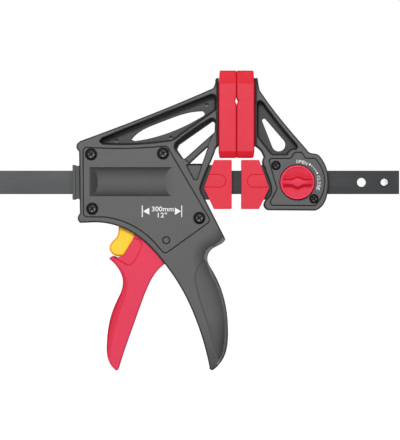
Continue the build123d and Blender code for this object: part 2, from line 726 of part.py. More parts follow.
brake_end_x = BRAKE_TOP[0] - BRAKE_THICKNESS / 2 / cos(radians(BRAKE_TILT)) + tan(radians(BRAKE_TILT)) * (
    BRAKE_TOP[1] - BRAKE_SPRING_Z - BRAKE_SPRING_RADIUS - BRAKE_SPRING_WIRE / 2)
drive_end_x = DRIVE_PLATE_X - DRIVE_PLATE_COUNT * (DRIVE_PLATE_THICKNESS + DRIVE_PLATE_GAP) + DRIVE_PLATE_GAP
for spring_name, radius, wire, turns, axis_z, start_x, end_x in (
    ("return_spring", RETURN_SPRING_RADIUS, RETURN_SPRING_WIRE, RETURN_SPRING_TURNS, RETURN_SPRING_Z,
     SPRING_SEAT_X + SPRING_SEAT_THICKNESS / 2, drive_end_x),
    ("brake_spring", BRAKE_SPRING_RADIUS, BRAKE_SPRING_WIRE, BRAKE_SPRING_TURNS, BRAKE_SPRING_Z,
     REAR_GUIDE_END_X, brake_end_x),
):
    with BuildPart() as spring:
        coil(radius, wire, turns, (start_x, 0, axis_z), (end_x, 0, axis_z))
    export(spring, spring_name)

with BuildPart() as release_lever:
    with BuildSketch(across(LEVER_HALF)):
        with BuildLine():
            trace(
                (-103.0, -31.0),
                [(-100.9, -37.0)],
                [(-101.2, -43.0), (-102.6, -47.0), (-105.9, -50.4), (-108.3, -54.2), (-108.2, -58.2),
                 (-105.6, -61.6), (-101.6, -63.3)],
                [(-96.6, -63.3)],
                [(-94.6, -61.0)],
                [(-84.9, -45.6)],
                [(-85.6, -41.0)],
                [(-95.2, -31.0)],
            )
        make_face()
        with Locations(LEVER_PIVOT):
            Circle(LEVER_HUB)
        with BuildLine():
            nose_x, nose_z = LEVER_NOSE
            Polyline((LEVER_PIVOT[0] - LEVER_HUB, LEVER_PIVOT[1]), (nose_x - LEVER_NOSE_RADIUS, nose_z),
                     (nose_x + LEVER_NOSE_RADIUS, nose_z), (LEVER_PIVOT[0] + 2, LEVER_PIVOT[1] + 3),
                     close=True)
        make_face()
        with Locations(LEVER_NOSE):
            Circle(LEVER_NOSE_RADIUS)
        with Locations(LEVER_PIVOT):
            Circle(LEVER_PIN_RADIUS + PIN_CLEARANCE, mode=Mode.SUBTRACT)
    extrude(amount=2 * LEVER_HALF)
export(release_lever, "release_lever")

with BuildPart() as trigger:
    with BuildSketch(across(TRIGGER_HALF)):
        with BuildLine():
            trace(
                (-84.0, -40.0),
                [(-86.7, -44.3)],
                [(-90.6, -52.4), (-96.9, -62.6)],
                [(-102.0, -64.4)],
                [(-106.3, -63.2), (-108.8, -65.4)],
                [(-103.8, -70.0), (-97.1, -84.0), (-98.2, -92.4), (-101.8, -100.3), (-108.3, -118.0),
                 (-110.8, -137.0), (-109.4, -152.0), (-104.6, -159.2)],
                [(-102.2, -160.6), (-100.4, -158.4)],
                [(-94.9, -141.2), (-86.6, -118.0), (-77.2, -92.3), (-69.2, -77.4), (-61.4, -69.8)],
                [(-53.6, -54.0)],
                [(-53.0, -46.0)],
                [(-60.0, -41.0)],
            )
        make_face()
        with Locations(TRIGGER_PIVOT):
            Circle(TRIGGER_HUB)
            Circle(TRIGGER_PIN_RADIUS + PIN_CLEARANCE, mode=Mode.SUBTRACT)
    extrude(amount=2 * TRIGGER_HALF)
    with BuildSketch(across(LEVER_HALF + LEVER_GAP)):
        with BuildLine():
            near = CenterArc(TRIGGER_PIVOT, LEVER_SLOT_RADIUS, 140, 40 + LEVER_SLOT_ANGLE)
            far = CenterArc(TRIGGER_PIVOT, 3 * LEVER_SLOT_RADIUS, 140, 40 + LEVER_SLOT_ANGLE)
            Line(near @ 0, far @ 0)
            Line(near @ 1, far @ 1)
        make_face()
    extrude(amount=2 * (LEVER_HALF + LEVER_GAP), mode=Mode.SUBTRACT)
    with BuildSketch(across(TRIGGER_ARM_HALF)):
        nose = (DRIVE_PLATE_X + NOSE_RADIUS + PIN_CLEARANCE, -BAR_HALF - NOSE_DEPTH)
        with BuildLine():
            Polyline((nose[0] - NOSE_RADIUS, nose[1]), (nose[0] + NOSE_RADIUS, nose[1]),
                     (TRIGGER_PIVOT[0] + TRIGGER_ARM_WIDTH / 2, TRIGGER_PIVOT[1] + TRIGGER_HUB / 2),
                     (TRIGGER_PIVOT[0] - TRIGGER_ARM_WIDTH, TRIGGER_PIVOT[1] + TRIGGER_HUB / 2),
                     (nose[0] - NOSE_RADIUS, -BAR_HALF - PLATE_TAIL - LEVER_GAP), close=True)
        make_face()
        with Locations(nose):
            Circle(NOSE_RADIUS)
        with Locations(TRIGGER_PIVOT):
            Circle(TRIGGER_PIN_RADIUS + PIN_CLEARANCE, mode=Mode.SUBTRACT)
    extrude(amount=2 * TRIGGER_ARM_HALF)
export(trigger, "trigger")

# ================================================================ bar
with BuildPart() as bar:
    with BuildSketch(along(BAR_REAR_X)):
        Rectangle(BAR_THICKNESS, BAR_HEIGHT)
        chamfer(vertices(), BAR_CORNER / 2)
    extrude(amount=BAR_FRONT_X - BAR_REAR_X)
    with BuildSketch(across(BAR_THICKNESS)):
        with Locations((LOCK_X, 0), (FRONT_HOLE_X, 0), (REAR_HOLE_X, 0)):
            Circle(INDEX_HOLE_RADIUS)
        with Locations((FRONT_PIN_X, 0), (REAR_PIN_X, 0)):
            Circle(STOP_PIN_RADIUS)
    extrude(amount=2 * BAR_THICKNESS, mode=Mode.SUBTRACT)
export(bar, "bar")

with BuildPart() as end_stop_pins:
    with BuildSketch(across(STOP_PIN_LENGTH / 2)):
        with Locations((FRONT_PIN_X, 0), (REAR_PIN_X, 0)):
            Circle(STOP_PIN_RADIUS)
            Circle(STOP_PIN_BORE, mode=Mode.SUBTRACT)
            with Locations(Location((0, 0), -60)):
                with Locations((STOP_PIN_RADIUS, 0)):
                    Rectangle(2 * STOP_PIN_RADIUS, STOP_PIN_SLIT, mode=Mode.SUBTRACT)
    extrude(amount=STOP_PIN_LENGTH)
export(end_stop_pins, "end_stop_pins")

# ================================================================ front jaw
with BuildPart() as front_jaw_body:
    with BuildSketch(across(JAW_HALF)):
        with BuildLine():
            jaw_outline()
        make_face()
    extrude(amount=2 * JAW_HALF)
    jaw_lug(1)
    cut_both_sides(brace_pocket, JAW_HALF, WEB_HALF)
    cut_through(brace_window, JAW_HALF)
    seat_and_cavity(jaw_seam, JAW_HALF, JAW_COVER_BACK, JAW_CAVITY_BACK)
    screw_bosses(JAW_SCREWS, JAW_BOSS_RADIUS, JAW_COVER_BACK, JAW_HALF, JAW_CAVITY_BACK)
    with BuildSketch(across(JAW_CAVITY_BACK)):
        with Locations((sum(CHANNEL_X) / 2, 0)):
            Rectangle(CHANNEL_X[1] - CHANNEL_X[0], 2 * (TUNNEL_HALF + CHANNEL_WALL))
    extrude(amount=JAW_CAVITY_BACK + TUNNEL_DEPTH)
    guide_block(*JAW_GUIDE_X, mode=Mode.SUBTRACT)
    bar_tunnel(JAW_GUIDE_X[1], FRONT_HOLE_X)
export(front_jaw_body, "front_jaw_body")

with BuildPart() as front_jaw_bar_guide:
    guide_block(*JAW_GUIDE_X)
    bar_tunnel(*JAW_GUIDE_X)
export(front_jaw_bar_guide, "front_jaw_bar_guide")

with BuildPart() as front_jaw_cover:
    with BuildSketch(across(JAW_COVER_BACK)):
        jaw_seam()
        offset(amount=-SEAM_GAP)
        with Locations((LOCK_X, 0)):
            Circle(KNOB_RADIUS + KNOB_GAP, mode=Mode.SUBTRACT)
    extrude(amount=JAW_COVER_THICKNESS)
    screw_seats(JAW_SCREWS, JAW_COUNTERBORE_RADIUS, JAW_HALF)
export(front_jaw_cover, "front_jaw_cover")

with BuildPart() as front_jaw_cover_screws:
    cover_screws(JAW_SCREWS, JAW_SCREW_HEAD_RADIUS, JAW_HALF)
export(front_jaw_cover_screws, "front_jaw_cover_screws")

# ================================================================ knob and lock pin
with BuildPart() as release_knob:
    for front, back, radius in (
        (KNOB_FACE_Y, FLANGE_FRONT_Y, KNOB_RADIUS),
        (FLANGE_FRONT_Y, FLANGE_FRONT_Y + KNOB_FLANGE_THICKNESS, KNOB_FLANGE_RADIUS),
        (FLANGE_FRONT_Y + KNOB_FLANGE_THICKNESS, SKIRT_END_Y, KNOB_SKIRT_RADIUS),
    ):
        with BuildSketch(across(back)):
            with Locations((LOCK_X, 0)):
                Circle(radius)
        extrude(amount=back - front)
    with BuildSketch(across(KNOB_DISH_Y)):
        with Locations((LOCK_X, 0)):
            Circle(KNOB_RADIUS - KNOB_RIM)
    extrude(amount=KNOB_DISH, mode=Mode.SUBTRACT)
    with BuildSketch(across(KNOB_DISH_Y)):
        with Locations((LOCK_X, 0)):
            Rectangle(2 * (KNOB_RADIUS - KNOB_RIM / 2), WING_WIDTH)
            Ellipse(*WING_BULGE)
    extrude(amount=WING_HEIGHT)
    with BuildSketch(across(SKIRT_END_Y)):
        with Locations((LOCK_X, 0)):
            Circle(PIN_HEAD_RADIUS + RUNNING_GAP)
    extrude(amount=SKIRT_END_Y - KNOB_BORE_TOP_Y, mode=Mode.SUBTRACT)
    for step in range(DOWEL_STEPS + 1):
        share = step / DOWEL_STEPS
        turned = radians(90 - KNOB_QUARTER * share)
        lifted = DOWEL_Y - PIN_LIFT * share
        with Locations(Plane(origin=(LOCK_X, lifted, 0), z_dir=(cos(turned), 0, sin(turned)))):
            Cylinder(DOWEL_RADIUS + DOWEL_ROOM, 2 * KNOB_SKIRT_RADIUS - 2 * RUNNING_GAP, mode=Mode.SUBTRACT)
export(release_knob, "release_knob")

with BuildPart() as lock_pin:
    with BuildSketch(across(BAR_THICKNESS / 2 - PIN_TIP_INSET)):
        with Locations((LOCK_X, 0)):
            Circle(PIN_RADIUS)
            with Locations((PIN_FLAT + PIN_RADIUS, 0)):
                Rectangle(2 * PIN_RADIUS, 2 * PIN_RADIUS, mode=Mode.SUBTRACT)
    extrude(amount=BAR_THICKNESS / 2 - PIN_TIP_INSET - DOWEL_Y)
    with BuildSketch(across(DOWEL_Y + PIN_HEAD_LENGTH / 2)):
        with Locations((LOCK_X, 0)):
            Circle(PIN_HEAD_RADIUS)
    extrude(amount=PIN_HEAD_LENGTH)
    with Locations(Location((LOCK_X, DOWEL_Y, 0))):
        Cylinder(DOWEL_RADIUS, 4 * PIN_HEAD_RADIUS, mode=Mode.SUBTRACT)
export(lock_pin, "lock_pin")

with BuildPart() as lock_pin_dowel:
    with Locations(Location((LOCK_X, DOWEL_Y, 0))):
        Cylinder(DOWEL_RADIUS, 2 * KNOB_SKIRT_RADIUS - 2)
export(lock_pin_dowel, "lock_pin_dowel")

with BuildPart() as lock_pin_guide:
    with BuildSketch(across(-TUNNEL_DEPTH)):
        with Locations((LOCK_X, 0)):
            Rectangle(GUIDE_PLATE_WIDTH, 2 * (TUNNEL_HALF + CHANNEL_WALL))
            Circle(PIN_RADIUS + PIN_CLEARANCE, mode=Mode.SUBTRACT)
            with Locations((PIN_FLAT + PIN_CLEARANCE + PIN_RADIUS, 0)):
                Rectangle(2 * PIN_RADIUS, 2 * PIN_RADIUS)
    extrude(amount=GUIDE_PLATE_THICKNESS)
export(lock_pin_guide, "lock_pin_guide")

with BuildPart() as lock_pin_spring:
    coil(PIN_RADIUS, LOCK_SPRING_WIRE, LOCK_SPRING_TURNS,
         (LOCK_X, PIN_TOP_Y, 0), (LOCK_X, KNOB_BORE_TOP_Y, 0))
export(lock_pin_spring, "lock_pin_spring")
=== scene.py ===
"""Finishes of the quick release bar clamp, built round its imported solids.

Each moulding keeps its solid's walls, pockets and bores. Its flat sides are laid again
as fine surfaces whose rims are rounded and which carry the palm swell, the scoop, the
finger facet and the other soft forms. Lengths are millimetres until a mesh is written.
"""
from __future__ import annotations

import logging
import math
from collections.abc import Callable, Iterable
from dataclasses import dataclass
from enum import Enum

import bmesh
import bpy
import numpy as np
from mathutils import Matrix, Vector
from mathutils.geometry import delaunay_2d_cdt

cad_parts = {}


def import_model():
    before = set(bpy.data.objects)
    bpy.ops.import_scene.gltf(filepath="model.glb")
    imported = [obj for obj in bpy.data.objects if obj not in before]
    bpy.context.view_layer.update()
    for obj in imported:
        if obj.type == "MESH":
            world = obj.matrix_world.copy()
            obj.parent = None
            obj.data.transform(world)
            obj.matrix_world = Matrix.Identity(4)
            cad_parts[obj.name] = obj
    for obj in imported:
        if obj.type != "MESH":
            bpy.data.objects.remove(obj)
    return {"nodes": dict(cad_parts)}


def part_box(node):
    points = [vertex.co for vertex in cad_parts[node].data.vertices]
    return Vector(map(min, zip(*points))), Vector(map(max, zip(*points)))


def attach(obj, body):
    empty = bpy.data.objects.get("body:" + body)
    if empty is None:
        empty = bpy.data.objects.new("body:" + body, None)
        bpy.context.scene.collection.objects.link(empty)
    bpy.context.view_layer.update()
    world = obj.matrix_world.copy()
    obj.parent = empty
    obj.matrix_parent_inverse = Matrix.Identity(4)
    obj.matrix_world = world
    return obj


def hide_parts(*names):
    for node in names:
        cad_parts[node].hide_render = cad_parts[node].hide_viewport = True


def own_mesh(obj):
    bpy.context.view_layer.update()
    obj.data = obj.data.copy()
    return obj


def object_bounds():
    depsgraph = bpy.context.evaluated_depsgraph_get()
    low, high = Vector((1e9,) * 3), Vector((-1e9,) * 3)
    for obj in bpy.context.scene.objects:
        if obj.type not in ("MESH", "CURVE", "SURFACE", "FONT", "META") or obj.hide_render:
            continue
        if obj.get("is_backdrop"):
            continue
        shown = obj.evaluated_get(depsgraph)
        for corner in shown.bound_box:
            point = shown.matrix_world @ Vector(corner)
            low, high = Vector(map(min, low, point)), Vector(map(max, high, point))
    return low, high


MM = 0.001  # metres in a millimetre
WELD = 1e-3  # mm within which points are one
FLAT = 2e-3  # mm within which a point lies in a side's plane
CHUNK = 400  # points in one table of distances
SHARP = math.radians(33)  # edges sharper than this stay sharp in the shading
WALL = 0.05  # a face whose normal has less Y than this is a wall
WEB = 2.0  # distance of a web's sides from the centre plane
PROBE = 0.02  # mm from an edge at which its inner side is looked for
CORNER = 0.94  # a joint whose half turn has a smaller cosine than this is a corner
STRETCH = 0.3  # least cosine by which a corner's rows are stretched
OWN = 0.97  # a row's point nearer to an edge than this share of its distance is dropped
ROW_CELL = 0.12  # mm between the rows' points at least
LOOSE = 1.3  # rim widths that a loose point keeps from every edge
APART = 0.5  # mm that a loose point keeps from the rows' points
RIM = "rim"  # the mask that finishes read: painted shade above 0, painted highlight below 0
PAINTED_HIGHLIGHT = -1.6  # mark of an edge that gets a painted highlight
DARKEST = 0.86  # strongest painted shadow below a wall
GROWTH = 2.2  # how fast painted shade grows towards the edge or wall beside it
PLATE_X = 15.2  # x of the jaw plates' backs, on both sides of the clamping plane
HOUSING = 13.0  # distance of the housing's sides from the centre plane
JAW = 12.5  # distance of the jaw's sides from the centre plane
KNOB_AT = (51.8, 0.0)  # the knob's (x, z)
BEVEL_FROM = math.radians(25)  # edges sharper than this are rounded on a kept solid
CAP_FROM = math.radians(20)  # edges sharper than this are rounded on a cap
NEARLY_FLAT = math.radians(0.5)  # faces that lean less than this are joined before a rounding
SINK = 0.02  # mm that a print reaches into its side
FLOOR_GAP = 0.0002  # metres between the clamp and the floor

log = logging.getLogger("bar_clamp")

Array = np.ndarray
Field = Callable[[Array], Array]
Pair = tuple[float, float]
Triple = tuple[float, float, float]
Mesh = bpy.types.Mesh
Object = bpy.types.Object
Material = bpy.types.Material
Socket = bpy.types.NodeSocket


class Finish(Enum):
    """The record's material slots."""

    BODY = "body_plastic"
    GUIDE = "guide_plastic"
    PAD = "soft_red"
    RED = "red_plastic"
    YELLOW = "yellow_plastic"
    BAR = "bar_steel"
    STEEL = "plain_steel"
    SPRING = "spring_steel"
    BLACK = "black_screw"


class Side(Enum):
    """Which flat side of a moulding is laid again."""

    FRONT = -1
    BACK = 1


# ---------------------------------------------------------------- plane geometry
def smooth_path(points: Iterable[Pair], step: float) -> Array:
    """Curve through the points: on each stretch a cubic whose end slopes are half the
    chord from the point before to the point after (Catmull and Rom's rule).

    Args:
        points: the few points that the curve passes through.
        step: spacing of the points returned, in mm.

    Returns:
        An array of points along the curve.
    """
    knots = np.asarray(list(points), float)
    first, last = 2 * knots[0] - knots[1], 2 * knots[-1] - knots[-2]
    padded = np.vstack([first, knots, last])
    runs = []
    for before, start, end, after in zip(padded, padded[1:], padded[2:], padded[3:]):
        count = max(2, int(np.ceil(np.linalg.norm(end - start) / step)))
        t = np.linspace(0, 1, count, endpoint=False)[:, None]
        runs.append(0.5 * (2 * start + (end - before) * t
                           + (2 * before - 5 * start + 4 * end - after) * t ** 2
                           + (3 * start - before - 3 * end + after) * t ** 3))
    return np.vstack(runs + [knots[-1:]])


def to_segments(points: Array, starts: Array, ends: Array) -> tuple[Array, Array]:
    """Distance from each point to each segment, as the distance to the foot of the
    perpendicular, held between the segment's ends.

    Args:
        points: array (n, 2).
        starts: segment starts (m, 2).
        ends: segment ends (m, 2).

    Returns:
        Distances (n, m), and the share along each segment (n, m).
    """
    run = ends - starts
    length2 = np.maximum((run ** 2).sum(1), 1e-12)
    gap = points[:, None, :] - starts[None]
    share = np.clip((gap * run[None]).sum(2) / length2, 0, 1)
    return np.linalg.norm(gap - share[..., None] * run[None], axis=2), share


def in_parts(points: Array) -> list[Array]:
    """The points in portions small enough for a table of all distances."""
    return np.array_split(points, max(1, len(points) // CHUNK))


def to_path(points: Array, path: Array) -> Array:
    """Distance from each point to an open path."""
    return np.concatenate([to_segments(part, path[:-1], path[1:])[0].min(1) for part in in_parts(points)])


def inside(points: Array, starts: Array, ends: Array) -> Array:
    """Whether a ray from each point towards +X crosses the segments an odd number of times."""
    x, z = points[:, :1], points[:, 1:]
    above = (starts[:, 1] > z) != (ends[:, 1] > z)
    rise = np.where(ends[:, 1] == starts[:, 1], 1e-12, ends[:, 1] - starts[:, 1])
    cross = starts[:, 0] + (z - starts[:, 1]) / rise * (ends[:, 0] - starts[:, 0])
    return (above & (x < cross)).sum(1) % 2 == 1


def within(points: Array, outline: Array) -> Array:
    """Whether each point lies inside a closed outline."""
    return inside(points, outline, np.roll(outline, -1, axis=0))


def honeycomb(low: Array, high: Array, spacing: float) -> Array:
    """Points of a triangular lattice over a box: rows a sine of 60 degrees apart,
    every second row shifted by half a spacing."""
    rows = np.arange(low[1], high[1], spacing * math.sin(math.pi / 3))
    columns = np.arange(low[0], high[0], spacing)
    x, z = np.meshgrid(columns, rows)
    x[1::2] += spacing / 2
    return np.column_stack([x.ravel(), z.ravel()])


def ease(value: Array) -> Array:
    """Smooth step from 0 to 1: 3t^2 - 2t^3 with t held between 0 and 1."""
    t = np.clip(value, 0, 1)
    return t * t * (3 - 2 * t)


def beside(path: Array, offsets: Iterable[float]) -> Array:
    """Rows of points carried along a path at the given offsets to its left."""
    run = np.gradient(path, axis=0)
    left = np.column_stack([-run[:, 1], run[:, 0]]) / np.linalg.norm(run, axis=1)[:, None]
    return np.vstack([path + left * offset for offset in offsets])


def read(items: bpy.types.bpy_prop_collection, key: str, width: int, kind: type = float) -> Array:
    """Reads a property of all items of a mesh into rows.

    Args:
        items: the mesh's points, faces or triangles.
        key: the property.
        width: how many values an item has.
        kind: float or int.

    Returns:
        An array (n, width).
    """
    values = np.empty(width * len(items), kind)
    items.foreach_get(key, values)
    return values.reshape(-1, width)


def mesh_from(name: str, points: Array, faces: list) -> Mesh:
    """Writes points in mm and faces into a new mesh, and returns it."""
    mesh = bpy.data.meshes.new(name)
    mesh.from_pydata(points * MM, [], faces)
    return mesh


def mark_corners(mesh: Mesh, marks: Array) -> None:
    """Writes the rim mask, one mark for each corner of each face."""
    mesh.attributes.new(RIM, "FLOAT", "CORNER").data.foreach_set("value", marks.astype(np.float32))


# ---------------------------------------------------------------- skins and their sides
@dataclass
class Skin:
    """A moulding's skin as arrays: points in mm, triangles, and each point's rim mask."""

    points: Array
    triangles: Array
    rim: Array

    @classmethod
    def of(cls, mesh: Mesh) -> "Skin":
        """Copies a mesh, with the points that share a place made one.

        Args:
            mesh: the solid's mesh, in metres.

        Returns:
            Its skin.
        """
        mesh.calc_loop_triangles()
        places = read(mesh.vertices, "co", 3) / MM
        corners = read(mesh.loop_triangles, "vertices", 3, int)
        _, first, same = np.unique(np.round(places / WELD).astype(np.int64), axis=0,
                                   return_index=True, return_inverse=True)
        triangles = same.reshape(-1)[corners]
        whole = (triangles != np.roll(triangles, 1, axis=1)).all(1)
        return cls(places[first], triangles[whole], np.zeros(len(first)))

    def open_edges(self, level: float) -> Array:
        """Numbers of the directed triangle edges in the plane y = level that no other
        triangle shares; edge 3t + k runs from corner k of triangle t to the next."""
        start = self.triangles.ravel()
        end = np.roll(self.triangles, -1, axis=1).ravel()
        size = len(self.points)
        alone = ~np.isin(end * size + start, start * size + end)
        flat = np.abs(self.points[:, 1] - level) < FLAT
        return np.flatnonzero(alone & flat[start] & flat[end])

    def split_open(self, level: float, longest: float) -> None:
        """Splits each long open edge into equal runs, and its triangle into a fan.

        Args:
            level: the plane's Y.
            longest: length that no run exceeds.
        """
        edges = self.open_edges(level)
        row, turn = np.divmod(edges, 3)
        a, b, apex = (self.triangles[row, (turn + k) % 3] for k in (0, 1, 2))
        count = np.ceil(np.linalg.norm(self.points[b] - self.points[a], axis=1) / longest).astype(int)
        many = count > 1
        row, a, b, apex, count = (part[many] for part in (row, a, b, apex, count))
        owner = np.repeat(np.arange(len(count)), count)
        run = np.arange(count.sum()) - np.repeat(np.cumsum(count) - count, count)
        last = run == count[owner] - 1
        fresh = len(self.points) + np.cumsum(~last) - 1
        tail = np.where(last, b[owner], fresh)
        head = np.where(run == 0, a[owner], np.roll(tail, 1))
        share = ((run + 1) / count[owner])[~last, None]
        mine = owner[~last]
        middle = self.points[a[mine]] * (1 - share) + self.points[b[mine]] * share
        kept = np.delete(self.triangles, row, axis=0)
        self.points = np.vstack([self.points, middle])
        self.rim = np.concatenate([self.rim, np.zeros(len(middle))])
        self.triangles = np.vstack([kept, np.column_stack([head, tail, apex[owner]])])

    def to_mesh(self, name: str) -> Mesh:
        """Writes the skin into a mesh in metres, with its rim mask as an attribute. A
        painted highlight mark, below 0, stays off the walls, whose normals have no Y part.

        Args:
            name: the mesh's name.

        Returns:
            The mesh.
        """
        used, compact = np.unique(self.triangles, return_inverse=True)
        mesh = mesh_from(name, self.points[used], compact.reshape(-1, 3).tolist())
        first, second, third = (self.points[self.triangles[:, corner]] for corner in range(3))
        normals = np.cross(second - first, third - first)
        wall = np.abs(normals[:, 1]) < WALL * np.linalg.norm(normals, axis=1)
        mark = self.rim[self.triangles]
        mark[wall] = np.maximum(mark[wall], 0.0)
        mark_corners(mesh, mark.ravel())
        return mesh


@dataclass(frozen=True)
class Rim:
    """Rounding of a face's edge: how wide on the face, how deep down the wall, and its
    mark in the rim mask: painted shade above 0, painted highlight below 0."""

    width: float
    drop: float
    steps: int = 4
    mark: float = 1.0

    def fall(self, gap: Array) -> Array:
        """Depth at a distance from the edge: a quarter ellipse, level at the width."""
        t = np.clip(1 - gap / self.width, 0, 1)
        return self.drop * (1 - np.sqrt(1 - t * t))

    def rows(self) -> list[float]:
        """Distances of the rows that carry the quarter ellipse."""
        turns = np.linspace(0, math.pi / 2, self.steps + 1)[1:]
        return [self.width * (1 - math.cos(turn)) for turn in turns] + [self.width * 1.25]

    def mask(self, gap: Array) -> Array:
        """The mark: whole on the outer half of the rounding, then fading to none."""
        return self.mark * np.clip(GROWTH * (1 - gap / self.width), 0, 1)


def unshaded(points: Array) -> Array:
    """No shade anywhere."""
    return np.zeros(len(points))


@dataclass(frozen=True)
class Relief:
    """A soft form on a side: its depth below the flat, points that resolve it, and how
    far it raises the rim mask."""

    depth: Field
    seeds: Array
    shade: Field = unshaded


@dataclass
class Rings:
    """The open loops of a flat: their points, each point's follower and its rim's number."""

    flat: Array
    follow: Array
    rim_of: Array

    @property
    def ends(self) -> Array:
        """Where each point's segment ends."""
        return self.flat[self.follow]

    @classmethod
    def of(cls, flat: Array, follow: Array, rims: int) -> "Rings":
        """Numbers the loops by area, largest first. A loop is found by hopping twice as
        far each time and keeping the least point number met.

        Args:
            flat: the loops' points.
            follow: each point's follower.
            rims: how many rims there are; the last serves all smaller loops.

        Returns:
            The rings.
        """
        label, hop = np.arange(len(flat)), follow
        for _ in range(int(math.log2(len(flat))) + 2):
            label, hop = np.minimum(label, label[hop]), hop[hop]
        x, z = flat.T
        area = np.abs(np.bincount(label, x * z[follow] - x[follow] * z, len(flat)))
        rank = np.empty(len(flat), int)
        rank[np.argsort(-area)] = np.arange(len(flat))
        return cls(flat, follow, np.minimum(rank[label], rims - 1))


@dataclass
class SideFace:
    """One flat side of a moulding, to be laid again.

    Attributes:
        side: front or back.
        half: distance of the flat from the centre plane.
        rims: rounding of each loop, largest loop first; the last one serves the rest.
        reliefs: soft forms on the side.
        lattice: spacing of the points on the plain part.
        swept: depth behind the flat within which all faces in the way are cleared.
        longest: longest piece of an open edge; longer ones are divided.
        dim: least painted shade on the whole side.
        under: reach of the painted shadow below the largest loop's walls.
    """

    side: Side
    half: float
    rims: tuple[Rim, ...]
    reliefs: tuple[Relief, ...] = ()
    lattice: float = 4.0
    swept: float = 0.0
    longest: float = 1.6
    dim: float = 0.0
    under: float = 0.0

    def rebuild(self, skin: Skin) -> None:
        """Takes the old flat away, keeps its walls, and lays the side between its loops.

        Args:
            skin: the moulding's skin, which is changed.
        """
        level = self.side.value * self.half
        outward = self.side.value * skin.points[:, 1]
        out = (outward > self.half - self.swept - FLAT) & (outward < self.half + FLAT)
        skin.triangles = skin.triangles[~out[skin.triangles].all(1)]
        skin.split_open(level, self.longest)
        edges = skin.open_edges(level)
        row, turn = np.divmod(edges, 3)
        start, end = skin.triangles[row, turn], skin.triangles[row, (turn + 1) % 3]
        order = np.argsort(start)
        ring, follow = start[order], np.searchsorted(start[order], end[order])
        rings = Rings.of(skin.points[ring][:, [0, 2]], follow, len(self.rims))
        rows = self.row_points(rings)
        plain = honeycomb(rings.flat.min(0), rings.flat.max(0), self.lattice)
        loose = self.thin(np.vstack([*(relief.seeds for relief in self.reliefs), plain]))
        loose = loose[(self.clearance(loose, rings) > LOOSE) & inside(loose, rings.flat, rings.ends)]
        loose = loose[self.apart(loose, rows)]
        self.knit(skin, ring, rings, np.vstack([rings.flat, rows, loose]))

    def row_points(self, rings: Rings) -> Array:
        """Rows carried inwards along every loop, at the rims' own distances. A corner
        gets a point on each leg's normal as well as on its bisector. A row point is
        dropped where another edge is nearer than its own.

        Args:
            rings: the open loops.

        Returns:
            The row points that are left.
        """
        starts, ends = rings.flat, rings.ends
        run = ends - starts
        normal = np.column_stack([-run[:, 1], run[:, 0]])
        normal /= np.maximum(np.linalg.norm(normal, axis=1), 1e-9)[:, None]
        normal[~inside((starts + ends) / 2 + normal * PROBE, starts, ends)] *= -1
        before = np.empty_like(rings.follow)
        before[rings.follow] = np.arange(len(before))
        joint = normal + normal[before]
        joint /= np.maximum(np.linalg.norm(joint, axis=1), 1e-9)[:, None]
        cosine = np.clip((joint * normal).sum(1), STRETCH, 1)[:, None]
        corner = cosine[:, 0] < CORNER
        kept = []
        for number, rim in enumerate(self.rims):
            mine = rings.rim_of == number
            at = mine & corner
            for gap in rim.rows():
                fan = [starts[at] + way * gap for way in (normal[at], normal[before[at]], joint[at])]
                made = np.vstack([starts[mine] + joint[mine] * gap / cosine[mine], *fan])
                near = self.clearance(made, rings)
                kept.append(made[(near > gap / rim.width * OWN) & inside(made, starts, ends)])
        return self.thin(np.vstack(kept), ROW_CELL)

    @staticmethod
    def thin(points: Array, cell: float = 0.25) -> Array:
        """Keeps one point in each cell of a fine square grid."""
        _, first = np.unique(np.round(points / cell).astype(int), axis=0, return_index=True)
        return points[np.sort(first)]

    @staticmethod
    def apart(points: Array, others: Array) -> Array:
        """Which points stand clear of all others."""
        return np.concatenate([np.linalg.norm(part[:, None] - others[None], axis=2).min(1) > APART
                               for part in in_parts(points)])

    def clearance(self, points: Array, rings: Rings) -> Array:
        """Smallest distance to an edge, in units of that edge's own rim width."""
        widths = np.array([rim.width for rim in self.rims])[rings.rim_of]
        return np.concatenate([(to_segments(part, rings.flat, rings.ends)[0] / widths).min(1)
                               for part in in_parts(points)])

    def heights(self, points: Array, rings: Rings) -> tuple[Array, Array]:
        """Depth below the flat: the deepest of the rims' quarter ellipses, the highest of
        the hollow ones (those with a drop below 0), and the reliefs.

        Args:
            points: all points of the side.
            rings: the open loops.

        Returns:
            The depths, and the rim mask: of all marks at a point, the strongest.
        """
        falls, masks = [], []
        for part in in_parts(points):
            gaps = to_segments(part, rings.flat, rings.ends)[0]
            nearest = [gaps[:, rings.rim_of == number].min(1, initial=1e9)
                       for number in range(len(self.rims))]
            each = np.array([rim.fall(gap) for rim, gap in zip(self.rims, nearest)])
            falls.append(each.max(0, initial=0.0) + each.min(0, initial=0.0))
            masks.append(np.clip(sum(rim.mask(gap) for rim, gap in zip(self.rims, nearest)), -1, 1))
        depth = np.concatenate(falls) + sum(relief.depth(points) for relief in self.reliefs)
        marks = np.array([np.concatenate(masks), *(relief.shade(points) for relief in self.reliefs),
                          np.full(len(points), self.dim), self.overhang(points, rings)])
        return depth, marks[np.abs(marks).argmax(0), np.arange(len(points))]

    def overhang(self, points: Array, rings: Rings) -> Array:
        """Painted shadow below the walls: a point is under a wall when the largest loop ends less
        than the reach above it, and the mark grows from the side's own towards the wall.

        Args:
            points: all points of the side.
            rings: the open loops.

        Returns:
            The marks.
        """
        if not self.under:
            return unshaded(points)
        wall = rings.rim_of == 0
        mark = unshaded(points)
        for share in np.linspace(1.0, 0.1, 10):
            above = points + np.array([0.0, share * self.under])
            covered = ~inside(above, rings.flat[wall], rings.ends[wall])
            mark = np.where(covered, min(DARKEST, GROWTH * (1 - share) + self.dim * share), mark)
        return mark

